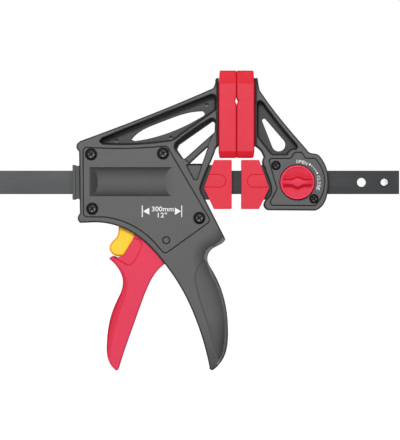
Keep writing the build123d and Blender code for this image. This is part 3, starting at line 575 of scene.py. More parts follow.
    def knit(self, skin: Skin, ring: Array, rings: Rings, points: Array) -> None:
        """Joins the points into triangles between the loops and lifts them to their depths.

        Args:
            skin: the moulding's skin, which is changed.
            ring: numbers of the loops' points in the skin.
            rings: the open loops.
            points: loop, row and lattice points.
        """
        edges = np.column_stack([np.arange(len(ring)), rings.follow]).tolist()
        spots, _, faces, origin, _, _ = delaunay_2d_cdt([Vector(p) for p in points], edges, [], 0, 1e-5)
        source = np.array([found[0] if found else 0 for found in origin])
        corners = np.array(faces)
        flat = np.array([tuple(spot) for spot in spots])
        corners = corners[inside(flat[corners].mean(1), rings.flat, rings.ends)]
        sign = self.side.value
        depth, mask = self.heights(points, rings)
        lifted = np.column_stack([points[:, 0], sign * (self.half - depth), points[:, 1]])
        skin.points[ring] = lifted[:len(ring)]
        skin.rim[ring] = mask[:len(ring)]
        number = np.concatenate([ring, len(skin.points) + np.arange(len(points) - len(ring))])
        skin.points = np.vstack([skin.points, lifted[len(ring):]])
        skin.rim = np.concatenate([skin.rim, mask[len(ring):]])
        skin.triangles = np.vstack([skin.triangles, number[source[corners]][:, ::-sign]])


# ---------------------------------------------------------------- shared shader groups
def group_of(name: str, inputs: dict[str, float | tuple], outputs: dict[str, str]) -> bpy.types.NodeTree:
    """Starts a shader node group.

    Args:
        name: the group's name.
        inputs: names and values of its inputs; a tuple makes a colour socket.
        outputs: names of its outputs and their socket types.

    Returns:
        The group with its input and output nodes.
    """
    tree = bpy.data.node_groups.new(name, "ShaderNodeTree")
    for key, value in inputs.items():
        kind = "NodeSocketColor" if isinstance(value, tuple) else "NodeSocketFloat"
        socket = tree.interface.new_socket(key, in_out="INPUT", socket_type=kind)
        socket.default_value = value
    for key, kind in outputs.items():
        tree.interface.new_socket(key, in_out="OUTPUT", socket_type=kind)
    tree.nodes.new("NodeGroupInput").name = "in"
    tree.nodes.new("NodeGroupOutput").name = "out"
    return tree


@dataclass
class Wiring:
    """Short calls for wiring one node tree."""

    tree: bpy.types.NodeTree

    def node(self, kind: str, **settings: object) -> bpy.types.Node:
        """Adds a node with its settings."""
        made = self.tree.nodes.new(kind)
        for key, value in settings.items():
            setattr(made, key, value)
        return made

    def link(self, source: Socket, target: Socket) -> None:
        """Joins two sockets."""
        self.tree.links.new(source, target)

    def feed(self, slot: Socket, value: object) -> None:
        """Links a socket to a slot, or writes a plain number or colour into it."""
        if isinstance(value, Socket):
            self.link(value, slot)
        else:
            slot.default_value = value

    def fill(self, node: bpy.types.Node, **values: object) -> None:
        """Feeds a node's inputs by name, with an underscore for each space."""
        for key, value in values.items():
            self.feed(node.inputs[key.replace("_", " ")], value)

    def math(self, operation: str, *values: object, clamp: bool = False) -> Socket:
        """Adds a Math node fed by sockets or plain numbers.

        Args:
            operation: the Math node's operation.
            values: sockets or numbers, in order.
            clamp: whether the result is held between 0 and 1.

        Returns:
            The result's socket.
        """
        made = self.node("ShaderNodeMath", operation=operation, use_clamp=clamp)
        for slot, value in zip(made.inputs, values):
            self.feed(slot, value)
        return made.outputs[0]

    def plus(self, base: object, value: object, factor: object, clamp: bool = False) -> Socket:
        """Adds a value times a factor to a base."""
        return self.math("ADD", base, self.math("MULTIPLY", value, factor), clamp=clamp)

    def scaled(self, vector: object, factor: object) -> Socket:
        """Adds a Vector Math node that scales a vector or a colour."""
        made = self.node("ShaderNodeVectorMath", operation="SCALE")
        self.feed(made.inputs[0], vector)
        self.feed(made.inputs["Scale"], factor)
        return made.outputs[0]

    def place(self) -> Socket:
        """Adds the place on the object, in metres."""
        return self.node("ShaderNodeTexCoord").outputs["Object"]

    def bump(self, height: Socket, strength: float, distance: float) -> Socket:
        """Adds a Bump node of a strength and a distance in metres."""
        made = self.node("ShaderNodeBump")
        self.fill(made, Strength=strength, Distance=distance, Height=height)
        return made.outputs[0]

    def noise(self, where: Socket, scale: float, detail: float = 2.0,
              roughness: float = 0.5) -> Socket:
        """Adds a Noise node read at a place, and returns its value."""
        made = self.node("ShaderNodeTexNoise")
        self.fill(made, Scale=scale, Detail=detail, Roughness=roughness, Vector=where)
        return made.outputs[0]

    def stretch(self, where: Socket, factors: Triple) -> Socket:
        """Adds a Mapping node that stretches a pattern along the axes."""
        made = self.node("ShaderNodeMapping")
        self.fill(made, Scale=factors, Vector=where)
        return made.outputs[0]

    def blend(self, share: Socket, low: object, high: object) -> Socket:
        """Adds a colour Mix node between two colours or sockets."""
        made = self.node("ShaderNodeMix", data_type="RGBA")
        self.link(share, made.inputs["Factor"])
        self.feed(made.inputs[6], low)
        self.feed(made.inputs[7], high)
        return made.outputs[2]


def grain_group() -> bpy.types.NodeTree:
    """Fine spark-eroded grain: two noises, a few tenths of a millimetre across.

    Returns:
        A group with inputs Size (mm) and Depth, and outputs Height and Fleck.
    """
    tree = group_of("moulded_grain", {"Size": 0.45, "Depth": 1.0},
                    {"Height": "NodeSocketFloat", "Fleck": "NodeSocketFloat"})
    w = Wiring(tree)
    source, out = tree.nodes["in"], tree.nodes["out"]
    scaled = w.scaled(w.place(), w.math("DIVIDE", 1000.0, source.outputs["Size"]))
    coarse = w.noise(scaled, 1.0, 3.0, 0.6)
    fine = w.noise(scaled, 2.7, 2.0, 0.5)
    height = w.plus(w.math("MULTIPLY", coarse, 0.7), fine, 0.3)
    w.link(w.math("MULTIPLY", height, source.outputs["Depth"]), out.inputs["Height"])
    w.link(w.math("SUBTRACT", coarse, 0.5), out.inputs["Fleck"])
    return tree


def tone_and_painted_light_group() -> bpy.types.NodeTree:
    """Uneven tone of a surface: wide clouds, painted shade, painted highlights and dust.
    The rim mask is read once: above 0 it is painted shade, below 0 a painted highlight.

    Returns:
        A group with inputs Clouds, Rubbed (painted highlight) and Dust, and outputs Tone, Dirt (painted
        shade) and Sheen.
    """
    tree = group_of("tone_and_painted_light_surface", {"Clouds": 0.06, "Rubbed": 0.25, "Dust": 0.04},
                    {"Tone": "NodeSocketFloat", "PaintedShade": "NodeSocketFloat", "Sheen": "NodeSocketFloat"})
    w = Wiring(tree)
    source, out = tree.nodes["in"], tree.nodes["out"]
    place = w.place()
    clouds = w.math("SUBTRACT", w.noise(place, 28.0, 4.0, 0.6), 0.5)
    streaks = w.math("SUBTRACT", w.noise(w.stretch(place, (0.35, 1.0, 1.0)), 240.0, 3.0, 0.65), 0.5)
    rim = w.node("ShaderNodeAttribute", attribute_name=RIM).outputs["Fac"]
    patchy = w.plus(0.45, w.noise(place, 900.0, 3.0, 0.7), 1.1)
    # painted highlight: the rim mask below 0, broken up by fine noise
    painted_highlight = w.math("MULTIPLY", w.math("MAXIMUM", w.math("MULTIPLY", rim, -1.0), 0.0), patchy, clamp=True)
    facing = w.node("ShaderNodeSeparateXYZ")
    w.link(w.node("ShaderNodeNewGeometry").outputs["Normal"], facing.inputs[0])
    upward = w.math("MAXIMUM", facing.outputs["Z"], 0.0)
    dust = w.math("MULTIPLY", upward, w.math("ADD", w.noise(place, 160.0, 4.0, 0.7), 0.1))
    tone = 1.0
    for key, value in (("Clouds", clouds), ("Rubbed", painted_highlight), ("Dust", dust)):
        tone = w.plus(tone, value, source.outputs[key])
    w.link(tone, out.inputs["Tone"])
    # painted shade: the rim mask above 0, which the finishes blend towards a deeper colour
    w.link(w.math("POWER", w.math("MAXIMUM", rim, 0.0), 1.5), out.inputs["PaintedShade"])
    w.link(w.math("MULTIPLY", streaks, 0.5), out.inputs["Sheen"])
    return tree


# ---------------------------------------------------------------- finishes
def shader_of(name: str) -> tuple[Material, Wiring, bpy.types.Node]:
    """A new material with its wiring and its Principled shader."""
    made = bpy.data.materials.new(name)
    made.use_nodes = True
    return made, Wiring(made.node_tree), made.node_tree.nodes["Principled BSDF"]


def rgba(rgb: Triple) -> tuple[float, float, float, float]:
    """A colour with full cover."""
    return (*rgb, 1.0)


@dataclass(frozen=True)
class MouldedPlastic:
    """Injection moulded plastic or soft rubber: grain and clouds, painted highlights on
    some edges, and a deeper colour for painted shade."""

    name: str
    colour: Triple
    # colour of the painted shade
    deep: Triple
    roughness: float
    specular: float
    grain_size: float
    grain_depth: float
    clouds: float = 0.10
    painted_highlight: float = 0.1
    dust: float = 0.05

    def make(self) -> Material:
        """Builds the material.

        Returns:
            A material whose tone and painted light come from the shared group and the grain.
        """
        made, w, shader = shader_of(self.name)
        grain, tone_and_painted_light = (w.node("ShaderNodeGroup", node_tree=bpy.data.node_groups[name])
                          for name in ("moulded_grain", "tone_and_painted_light_surface"))
        w.fill(grain, Size=self.grain_size)
        w.fill(tone_and_painted_light, Clouds=self.clouds, Rubbed=self.painted_highlight, Dust=self.dust)
        tone = w.plus(tone_and_painted_light.outputs["Tone"], grain.outputs["Fleck"], 0.35)
        # painted shade: the colour blends towards the deep colour where the rim mask is above 0
        colour = w.blend(tone_and_painted_light.outputs["PaintedShade"], rgba(self.colour), rgba(self.deep))
        w.fill(shader, Base_Color=w.scaled(colour, tone), Specular_IOR_Level=self.specular,
               Roughness=w.plus(self.roughness, tone_and_painted_light.outputs["Sheen"], 0.3, clamp=True),
               Normal=w.bump(grain.outputs["Height"], self.grain_depth, 0.0001))
        return made


@dataclass(frozen=True)
class BarSteel:
    """Flat bar, blackened over lengthways brushing, paler towards its rear end."""

    name: str
    dark: Triple
    pale: Triple
    roughness: float

    def make(self) -> Material:
        """Builds the material.

        Returns:
            A metal with long streaks along X, paler towards the rear.
        """
        made, w, shader = shader_of(self.name)
        place = w.place()
        streaks = w.noise(w.stretch(place, (9.0, 700.0, 700.0)), 1.0, 5.0, 0.65)
        blotches = w.noise(w.stretch(place, (18.0, 60.0, 60.0)), 1.0, 4.0, 0.6)
        apart = w.node("ShaderNodeSeparateXYZ")
        w.link(place, apart.inputs[0])
        rearward = w.math("MULTIPLY", w.math("SUBTRACT", -0.10, apart.outputs["X"]), 20.0, clamp=True)
        share = w.plus(w.math("MULTIPLY", rearward, 0.75), w.math("SUBTRACT", blotches, 0.5), 0.9)
        share = w.plus(share, w.math("SUBTRACT", streaks, 0.5), 0.8, clamp=True)
        w.fill(shader, Base_Color=w.blend(share, rgba(self.dark), rgba(self.pale)), Metallic=0.85,
               Roughness=w.plus(self.roughness, streaks, 0.22), Normal=w.bump(streaks, 0.25, 0.00005))
        return made


@dataclass(frozen=True)
class TurnedSteel:
    """Plain or drawn steel of pins, plates and springs."""

    name: str
    colour: Triple
    roughness: float
    scuffs: float = 0.25

    def make(self) -> Material:
        """Builds the material.

        Returns:
            A metal whose tone and gloss vary with fine scuffs.
        """
        made, w, shader = shader_of(self.name)
        place = w.place()
        scuffs = w.noise(place, 900.0, 4.0, 0.65)
        clouds = w.noise(place, 120.0, 3.0, 0.5)
        tone = w.plus(1.0 - self.scuffs / 2, scuffs, self.scuffs)
        tone = w.math("MULTIPLY", tone, w.plus(0.9, clouds, 0.2))
        w.fill(shader, Base_Color=w.scaled(self.colour, tone), Metallic=1.0,
               Roughness=w.plus(self.roughness - 0.1, scuffs, 0.2))
        return made


@dataclass(frozen=True)
class PrintedInk:
    """Pad-printed ink, slightly broken by the grain under it."""

    name: str
    colour: Triple

    def make(self) -> Material:
        """Builds the material and returns it."""
        made, w, shader = shader_of(self.name)
        place = w.place()
        speck = w.noise(place, 2600.0, 2.0, 0.5)
        faded = tuple(part * 0.72 for part in self.colour)
        w.fill(shader, Base_Color=w.blend(speck, rgba(self.colour), rgba(faded)), Roughness=0.55)
        return made


def mix_palette() -> dict[Finish, Material]:
    """Builds the shared groups and every finish.

    Returns:
        The clamp's materials, by slot.
    """
    grain_group()
    tone_and_painted_light_group()
    # Each moulded finish's second colour is the colour of its painted shade, and rubbed scales its painted
    # highlights.
    finishes = {
        Finish.BODY: MouldedPlastic("filled_nylon_grey", (0.089, 0.090, 0.091), (0.010, 0.010, 0.011),
                                    0.60, 0.32, 0.5, 0.35, painted_highlight=0.9),
        Finish.GUIDE: MouldedPlastic("guide_black", (0.022, 0.034, 0.031), (0.008, 0.012, 0.011),
                                     0.55, 0.3, 0.4, 0.25),
        Finish.PAD: MouldedPlastic("soft_rubber_red", (0.635, 0.024, 0.048), (0.60, 0.0, 0.012),
                                   0.60, 0.30, 0.6, 0.3),
        Finish.RED: MouldedPlastic("moulded_red", (0.68, 0.035, 0.085), (0.53, 0.0005, 0.014),
                                   0.54, 0.25, 0.8, 0.16, clouds=0.08),
        Finish.YELLOW: MouldedPlastic("moulded_yellow", (0.94, 0.57, 0.024), (0.78, 0.34, 0.004),
                                      0.5, 0.34, 0.8, 0.14, clouds=0.05),
        Finish.BAR: BarSteel("blackened_bar", (0.028, 0.029, 0.030), (0.060, 0.061, 0.063), 0.36),
        Finish.STEEL: TurnedSteel("plain_steel_bright", (0.50, 0.50, 0.51), 0.35),
        Finish.SPRING: TurnedSteel("drawn_wire", (0.40, 0.40, 0.41), 0.3),
        Finish.BLACK: MouldedPlastic("black_oxide", (0.009, 0.009, 0.010), (0.001, 0.001, 0.001),
                                     0.40, 0.08, 0.3, 0.2, painted_highlight=26.0),
    }
    return {slot: finish.make() for slot, finish in finishes.items()}


# ---------------------------------------------------------------- making pieces
def merged(node: Object) -> bmesh.types.BMesh:
    """A copy of a solid's mesh with its loose triangles joined."""
    bm = bmesh.new()
    bm.from_mesh(node.data)
    bmesh.ops.remove_doubles(bm, verts=bm.verts, dist=WELD * MM)
    return bm


def mesh_of(bm: bmesh.types.BMesh, name: str) -> Mesh:
    """Writes a bmesh into a new mesh and frees it."""
    mesh = bpy.data.meshes.new(name)
    bm.to_mesh(mesh)
    bm.free()
    return mesh


def even_shading(obj: Object) -> None:
    """Shades by angle, and weights the normals so that flats stay flat beside rims."""
    obj.data.shade_smooth()
    obj.data.set_sharp_from_angle(angle=SHARP)
    weigh = obj.modifiers.new("even_shading", "WEIGHTED_NORMAL")
    weigh.keep_sharp = True


def piece_from(data: bpy.types.ID, name: str,
               place: Triple = (0, 0, 0)) -> Object:
    """Puts a mesh, a lamp or a camera into a new object at a place, in metres.

    Args:
        data: what the object shows.
        name: the object's name.
        place: where its origin stands.

    Returns:
        The object.
    """
    obj = bpy.data.objects.new(name, data)
    obj.location = place
    bpy.context.scene.collection.objects.link(obj)
    return obj


def turned(profile: Iterable[Pair], places: Iterable[Pair], level: float,
           turns: int = 24) -> Mesh:
    """Turns a profile about Y at each place: x = cx + r cos t, z = cz + r sin t, and
    y = -(level + h). The profile starts and ends on the axis, so each body is closed.

    Args:
        profile: (r, h) from the axis outwards and back; both ends have r = 0.
        places: the axes' (x, z).
        level: distance of h = 0 from the centre plane.
        turns: steps round the axis.

    Returns:
        One mesh with a body at each place.
    """
    radius, height = np.asarray(list(profile)).T
    angle = np.linspace(0, 2 * math.pi, turns, endpoint=False)
    inner = radius[1:-1, None]
    points, faces = [], []
    for cx, cz in places:
        base = sum(len(part) for part in points)
        rows = np.stack([cx + inner * np.cos(angle), np.broadcast_to(-(level + height[1:-1, None]),
                                                                     (len(inner), turns)),
                         cz + inner * np.sin(angle)], axis=-1).reshape(-1, 3)
        poles = [(cx, -(level + height[0]), cz), (cx, -(level + height[-1]), cz)]
        points += [rows, np.array(poles)]
        first, last = base + len(rows), base + len(rows) + 1
        ring = np.arange(turns)
        ahead = (ring + 1) % turns
        for row in range(len(inner) - 1):
            low, high = base + row * turns, base + (row + 1) * turns
            faces += np.column_stack([low + ring, low + ahead, high + ahead, high + ring]).tolist()
        outer = base + (len(inner) - 1) * turns
        faces += np.column_stack([base + ahead, base + ring, np.full(turns, first)]).tolist()
        faces += np.column_stack([outer + ring, outer + ahead, np.full(turns, last)]).tolist()
    return mesh_from("turned", np.vstack(points), faces)


@dataclass
class Bench:
    """What every sub-assembly works with: the frame and the palette."""

    nodes: dict[str, Object]
    palette: dict[Finish, Material]

    def paint(self, name: str, finish: Finish) -> None:
        """Gives a kept solid its material."""
        node = self.nodes[name]
        node.data.materials.clear()
        node.data.materials.append(self.palette[finish])
        log.info("%s keeps its solid, finish %s", name, finish.value)

    def soften(self, name: str, finish: Finish, width: float) -> None:
        """Gives a kept solid rounded edges and its material.

        Args:
            name: the node.
            finish: its finish.
            width: bevel width in mm.
        """
        self.paint(name, finish)
        node = self.nodes[name]
        weld = node.modifiers.new("weld", "WELD")
        weld.merge_threshold = WELD * MM
        flatten = node.modifiers.new("flats", "DECIMATE")
        flatten.decimate_type = "DISSOLVE"
        flatten.angle_limit = NEARLY_FLAT
        bevel = node.modifiers.new("rounded_edges", "BEVEL")
        bevel.width = width * MM
        bevel.segments = 3
        bevel.limit_method = "ANGLE"
        bevel.angle_limit = BEVEL_FROM
        bevel.harden_normals = False
        bevel.miter_outer = "MITER_ARC"
        node.data.shade_smooth()
        weigh = node.modifiers.new("even_shading", "WEIGHTED_NORMAL")
        weigh.keep_sharp = True

    def dress(self, mesh: Mesh, name: str, node: str, body: str, finish: Finish) -> Object:
        """Turns a rebuilt mesh into the piece that stands for a node.

        Args:
            mesh: the finished mesh.
            name: the piece's name.
            node: the node that it replaces.
            body: the body that it rides on.
            finish: its finish.

        Returns:
            The new object.
        """
        obj = piece_from(mesh, name)
        even_shading(obj)
        mesh.materials.append(self.palette[finish])
        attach(obj, body)
        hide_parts(node)
        log.info("%s stands for %s, %d faces", name, node, len(mesh.polygons))
        return obj

    def cap(self, node: str, body: str, finish: Finish, width: float, shape: Field | None = None,
            band: float = 0.0, plain: float = 0.0) -> None:
        """Rounds a copy of a solid and paints shade on its roundings, and on its bands on request:
        with n the size of a face normal's Y, a rounding has 0.3 < n < 0.9, a band 0.9 < n < 0.995.

        Args:
            node: the node to copy.
            body: the body that it rides on.
            finish: its finish.
            width: width of the roundings in mm.
            shape: moves the copy's points, in mm.
            band: the bands' painted shade.
            plain: the mark of the flat sides.
        """
        bm = merged(self.nodes[node])
        bmesh.ops.dissolve_limit(bm, angle_limit=NEARLY_FLAT, verts=bm.verts, edges=bm.edges)
        if shape:
            for vert in bm.verts:
                vert.co = Vector(shape(np.array(vert.co) / MM) * MM)
        sharp = [e for e in bm.edges if len(e.link_faces) == 2 and e.calc_face_angle() > CAP_FROM]
        bmesh.ops.bevel(bm, geom=sharp, offset=width * MM, segments=3, profile=0.5, affect="EDGES",
                        clamp_overlap=True)
        name = f"{node}_cap"
        mesh = mesh_of(bm, name)
        across = np.abs(read(mesh.polygons, "normal", 3)[:, 1])
        value = np.select([across > 0.995, across > 0.9, across > 0.3], [plain, band, 1.0], plain)
        mark_corners(mesh, np.repeat(value, read(mesh.polygons, "loop_total", 1, int)[:, 0]))
        self.dress(mesh, name, node, body, finish)

    def relay(self, node: str, body: str, finish: Finish, faces: Iterable[SideFace]) -> None:
        """Lays the flat sides of a moulding again and dresses it.

        Args:
            node: the node to copy.
            body: the body that it rides on.
            finish: its finish.
            faces: the sides to lay again.
        """
        skin = Skin.of(self.nodes[node].data)
        for face in faces:
            face.rebuild(skin)
        name = f"{node}_moulding"
        self.dress(skin.to_mesh(name), name, node, body, finish)

    def add(self, mesh: Mesh, name: str, body: str, finish: Finish | Material) -> None:
        """Puts a small piece on a body, beside the nodes.

        Args:
            mesh: its mesh.
            name: its name.
            body: the body that it rides on.
            finish: its finish, or a material that is in no slot.
        """
        obj = piece_from(mesh, name)
        slotted = isinstance(finish, Finish)
        mesh.materials.append(self.palette[finish] if slotted else finish)
        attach(obj, body)
        log.info("%s rides on %s, %d faces", name, body, len(mesh.polygons))

    def screws(self, node: str, body: str, places: tuple, level: float, head: float, wide: float) -> None:
        """Screws whose heads are spread to fill their seats, with rounded heads and
        crosses: a point of a head moves outwards by the share that takes the head's
        radius to the wide one.

        Args:
            node: the node of screws.
            body: the body that they ride on.
            places: the screws' (x, z).
            level: distance of the heads' tops from the centre plane.
            head: the solid head's radius.
            wide: the spread head's radius.
        """
        skin = Skin.of(self.nodes[node].data)
        for place in places:
            out = skin.points[:, [0, 2]] - place
            reach = np.hypot(*out.T)
            rim = np.abs(reach - head) < 0.2
            skin.points[np.ix_(rim, [0, 2])] += out[rim] * (wide / head - 1)
        # The rims paint shade on the heads' rounded rims and round the crosses.
        rims = (Rim(wide * 0.30, 0.75, 5),) * len(places) + (Rim(0.3, 0.25, 2),)
        axes = np.array(places)

        # Painted glints: the quadrants between the cross's arms are painted lighter, most on the lower right.
        def bright(points: Array) -> Array:
            away = points[:, None] - axes[None]
            nearest = np.linalg.norm(away, axis=2).argmin(1)
            x, z = away[np.arange(len(points)), nearest].T / wide
            lit = 0.30 + 0.55 * ease(0.5 + (0.6 * x - 0.8 * z) / 0.7)
            return -lit * ease((0.62 - np.hypot(x, z)) / 0.14)

        turn = np.linspace(0, 2 * math.pi, 25)[:-1]
        ring = np.column_stack([np.cos(turn), np.sin(turn)]) * wide
        shares = (0.36, 0.50, 0.56, 0.62, 0.68)
        seeds = np.vstack([place + ring * share for place in axes for share in shares])
        flat = Relief(unshaded, seeds, bright)
        SideFace(Side.FRONT, level, rims, (flat,), lattice=1.2, longest=0.8).rebuild(skin)
        name = f"{node}_heads"
        self.dress(skin.to_mesh(name), name, node, body, Finish.BLACK)


@dataclass(frozen=True)
class Spring:
    """A coil spring, copied from its node's solid."""

    node: str
    body: str
    joint: str
    axis: int
    travel: float
    wire: float
    least: float = 0.04

    def build(self, bench: Bench) -> None:
        """Copies the node's coil.

        Args:
            bench: the frame and the palette.
        """
        low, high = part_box(self.node)
        name = f"{self.node}_coil"
        coil = bench.dress(mesh_of(merged(bench.nodes[self.node]), name), name, self.node, self.body,
                           Finish.SPRING)
        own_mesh(coil)


# ---------------------------------------------------------------- soft forms
def painted_highlight_edge(gap: Array, width: float) -> Array:
    """Mark of a painted highlight along an edge: whole beside the edge, gone at the width."""
    return PAINTED_HIGHLIGHT * np.clip(1.4 * (1 - gap / width), 0, 1)


@dataclass(frozen=True)
class PlateStrip:
    """Low strip along a jaw plate, a step down from the side.

    Attributes:
        plate: x of the plate's back.
        wide: the strip's width.
        span: its lowest and highest z.
        step: depth of the step.
        soft: width over which the step's long edge falls.
        dark: painted shade of the whole step.
    """

    plate: float
    wide: float = 2.1
    span: Pair = (30.0, 89.5)
    step: float = 1.2
    soft: float = 0.5
    dark: float = 0.8

    def relief(self) -> Relief:
        """The strip's relief and its points."""
        low, high = self.span
        edge = self.plate + math.copysign(self.wide, self.plate)
        inward = -math.copysign(1.0, self.plate)

        def depth(points: Array) -> Array:
            across = ease(inward * (points[:, 0] - edge) / self.soft + 0.5)
            along = ease((points[:, 1] - low) / 1.0 + 0.5)
            return self.step * across * along

        z = np.arange(low, high, 1.0)
        seeds = np.vstack([np.column_stack([np.full_like(z, edge + dx), z])
                           for dx in (-0.5, -0.2, 0.0, 0.2, 0.5)])
        # The step's painted shade follows its depth.
        return Relief(depth, seeds, lambda points: self.dark * depth(points) / self.step)


@dataclass(frozen=True)
class PalmSwell:
    """Palm swell of the grip: behind its line the side falls towards the grip's back.

    Attributes:
        line: the line from the notch down to the grip's foot.
        far: closes the patch behind the line.
        back: the grip's back edge.
        drop: depth scale of the fall.
        start: height below the line's top over which the fall grows from nothing.
        crease: width, depth and painted shade of the shallow step at the line.
        foot: z below which the side darkens, and the height over which it does.
        painted_highlight: width of the painted highlight along the back edge.
    """

    line: tuple = ((-25.2, -65.4), (-29.8, -67.7), (-33.7, -72.8), (-35.6, -80.5), (-34.6, -88.7),
                   (-31.2, -101.5), (-26.9, -114.4), (-22.6, -128.1), (-19.2, -141.8), (-14.2, -155.4))
    far: tuple = ((4.0, -155.4), (4.0, -65.4))
    back: tuple = ((-24.9, -65.1), (-20.9, -75.0), (-12.8, -92.1), (-8.4, -110.0), (-7.2, -126.0),
                   (-9.5, -146.1), (-14.6, -155.2))
    drop: float = 7.0
    start: float = 16.0
    crease: Triple = (0.9, 0.5, 0.62)
    foot: Pair = (-112.0, 45.0)
    painted_highlight: float = 2.6

    def relief(self) -> Relief:
        """With u the share of the way from the line to the back, the side falls by
        drop (1 - the root of 1 - 0.96 u squared), and the crease adds its own step.

        Returns:
            The relief and its points.
        """
        line, back = smooth_path(self.line, 1.0), smooth_path(self.back, 1.0)
        patch = np.vstack([line, self.far])
        top = self.line[0][1]
        wide, step, dark = self.crease

        def ways(points: Array) -> tuple[Array, Array, Array]:
            from_line, from_back = to_path(points, line), to_path(points, back)
            return from_line, from_back, from_line / np.maximum(from_line + from_back, 1e-6)

        def depth(points: Array) -> Array:
            from_line, _, share = ways(points)
            below = ease((top - points[:, 1]) / self.start)
            fall = self.drop * below * (1 - np.sqrt(1 - 0.96 * share ** 2)) + step * ease(from_line / wide)
            return np.where(within(points, patch), fall * ease(from_line / wide), 0.0)

        # Painted shade on the crease and on the swell as it falls away, darker towards the foot, and a
        # painted highlight along the back edge.
        def shade(points: Array) -> Array:
            from_line, from_back, share = ways(points)
            crease = dark * np.clip(1 - from_line / wide, 0, 1)
            foot = dark * np.clip((self.foot[0] - points[:, 1]) / self.foot[1], 0, 1)
            start = 0.42 * ease((self.start - top + points[:, 1]) / self.start)
            swell = 0.66 * share ** 1.6 + 0.12 * ease(from_line / wide) + start * ease(from_line / 3.0)
            swell = np.where(within(points, patch), swell, 0.0)
            return np.where(from_back < self.painted_highlight, painted_highlight_edge(from_back, self.painted_highlight),
                            np.maximum(crease, swell + foot))

        dots = honeycomb(patch.min(0), np.array([-5.0, -64.0]), 1.3)
        seeds = np.vstack([beside(line, (-1.4, -0.9, -0.45, 0.0, 0.3)), dots[within(dots, patch)]])
        return Relief(depth, seeds, shade)


@dataclass(frozen=True)
class Notch:
    """Broad rounding round the web-of-hand notch above the grip.

    Attributes:
        line: the notch's edge.
        reach: width of the rounding.
        drop: depth of the rounding.
        dark_reach: width of the painted shade round the notch.
        painted_highlight: width of the painted highlight along the edge.
    """

    line: tuple = ((-9.4, -48.6), (-11.9, -51.7), (-17.0, -55.4), (-22.2, -58.1), (-24.6, -61.6),
                   (-24.9, -65.1))
    reach: float = 11.5
    drop: float = 2.6
    dark_reach: float = 14.0
    painted_highlight: float = 2.6

    def relief(self) -> Relief:
        """The rounding is a quarter ellipse over its reach, held nearly level inside.

        Returns:
            The relief and its points.
        """
        line = smooth_path(self.line, 0.8)

        def depth(points: Array) -> Array:
            share = np.clip(1 - to_path(points, line) / self.reach, 0, 1)
            return self.drop * (1 - np.sqrt(1 - 0.98 * share ** 2.4))

        # Painted shade round the notch, and a painted highlight along its edge.
        def shade(points: Array) -> Array:
            gap = to_path(points, line)
            dark = 0.96 * np.clip(1 - gap / self.dark_reach, 0, 1) ** 0.7
            return np.where(gap < self.painted_highlight, painted_highlight_edge(gap, self.painted_highlight), dark)

        dots = honeycomb(line.min(0) - self.reach, line.max(0) + self.reach, 1.3)
        return Relief(depth, dots[to_path(dots, line) < self.reach + 1], shade)


@dataclass(frozen=True)
class LowStrut:
    """The strut between the two lower windows, a step below its neighbours.

    Attributes:
        patch: the strut's outline.
        step: depth of the step.
    """

    patch: tuple = ((-45.4, 20.1), (-18.9, 43.4), (-20.6, 38.4), (-24.3, 30.6), (-40.2, 15.9))
    step: float = 1.3

    def relief(self) -> Relief:
        """The step falls softly at both ends of the strut, where its painted shade is strongest."""
        patch = np.array(self.patch)
        ends = np.array([patch[1:4], patch[[4, 0, 0]]])

        def to_ends(points: Array) -> Array:
            return np.min([to_path(points, end) for end in ends], axis=0)

        def depth(points: Array) -> Array:
            return self.step * np.where(within(points, patch), ease(to_ends(points) / 0.7), 0.0)

        # Painted shade over the whole strut, strongest at its ends.
        def shade(points: Array) -> Array:
            dark = np.maximum(0.30, 1.1 * np.clip(1.1 - to_ends(points) / 1.6, 0, 0.95))
            return np.where(within(points, patch), dark, 0.0)

        seeds = [beside(smooth_path(end, 0.8), (-0.9, -0.6, -0.3, 0.0, 0.3, 0.6, 0.9)) for end in ends]
        return Relief(depth, np.vstack([*seeds, honeycomb(patch.min(0), patch.max(0), 1.3)]), shade)


@dataclass(frozen=True)
class Scoop:
    """Shallow trough along the housing's cover.

    Attributes:
        ends: x of its two ends.
        middle: z of its middle line.
        half: its half width.
        deep: its depth.
        ramp: length of the ramp at each end.
        bulk: power of the trough's section; above 2 its floor is flatter than an ellipse's.
    """

    ends: Pair = (-125.8, -53.4)
    middle: float = 0.4
    half: float = 12.4
    deep: float = 2.15
    ramp: float = 7.3
    bulk: float = 2.4

    def relief(self) -> Relief:
        """With z the share of the half width, the section is deep times the root of
        (1 - z to the bulk), and no deeper than the ramps allow. Walls and ramps get painted
        shade, the more the steeper they are, most on the lower wall and the left ramp.

        Returns:
            The relief and its points.
        """
        low, high = self.ends

        def parts(points: Array) -> tuple[Array, Array, Array]:
            z = np.clip(np.abs(points[:, 1] - self.middle) / self.half, 0, 1)
            end = np.minimum(points[:, 0] - low, high - points[:, 0]) / self.ramp
            return z, np.sqrt(1 - z ** self.bulk), np.clip(end, 0, None)

        def depth(points: Array) -> Array:
            _, trough, end = parts(points)
            return self.deep * np.minimum(trough, end)

        # Painted shade on the trough's walls and ramps.
        def shade(points: Array) -> Array:
            z, trough, end = parts(points)
            ramp = np.where(points[:, 0] < (low + high) / 2, 0.80 + 0.16 * end, 0.05 + 0.25 * end ** 2)
            lower = points[:, 1] < self.middle
            wall = np.clip(0.36 + np.where(lower, 0.82, 0.56) * z ** 1.4, 0, 1)
            inner = (end > 0) & (z < 1)
            return np.where(inner, np.where(end < trough, ramp, wall), 0.0)

        x = np.arange(low - 0.4, high + 0.4, 1.2)
        z = np.arange(-self.half, self.half + 0.01, 1.0) + self.middle
        rows = [np.column_stack([x, np.full_like(x, self.middle + s * (self.half + d))])
                for s in (-1, 1) for d in (-2.0, -1.0, -0.5, -0.2, 0.0, 0.3)]
        turn = np.sqrt(1 - np.abs((z - self.middle) / self.half) ** self.bulk) * self.ramp
        bows = [np.column_stack([bow + d, z]) for bow in (low + turn, high - turn) for d in (-0.4, 0.0, 0.4)]
        dots = honeycomb(np.array([low, self.middle - self.half]),
                         np.array([high, self.middle + self.half]), 1.3)
        return Relief(depth, np.vstack([*rows, *bows, dots]), shade)


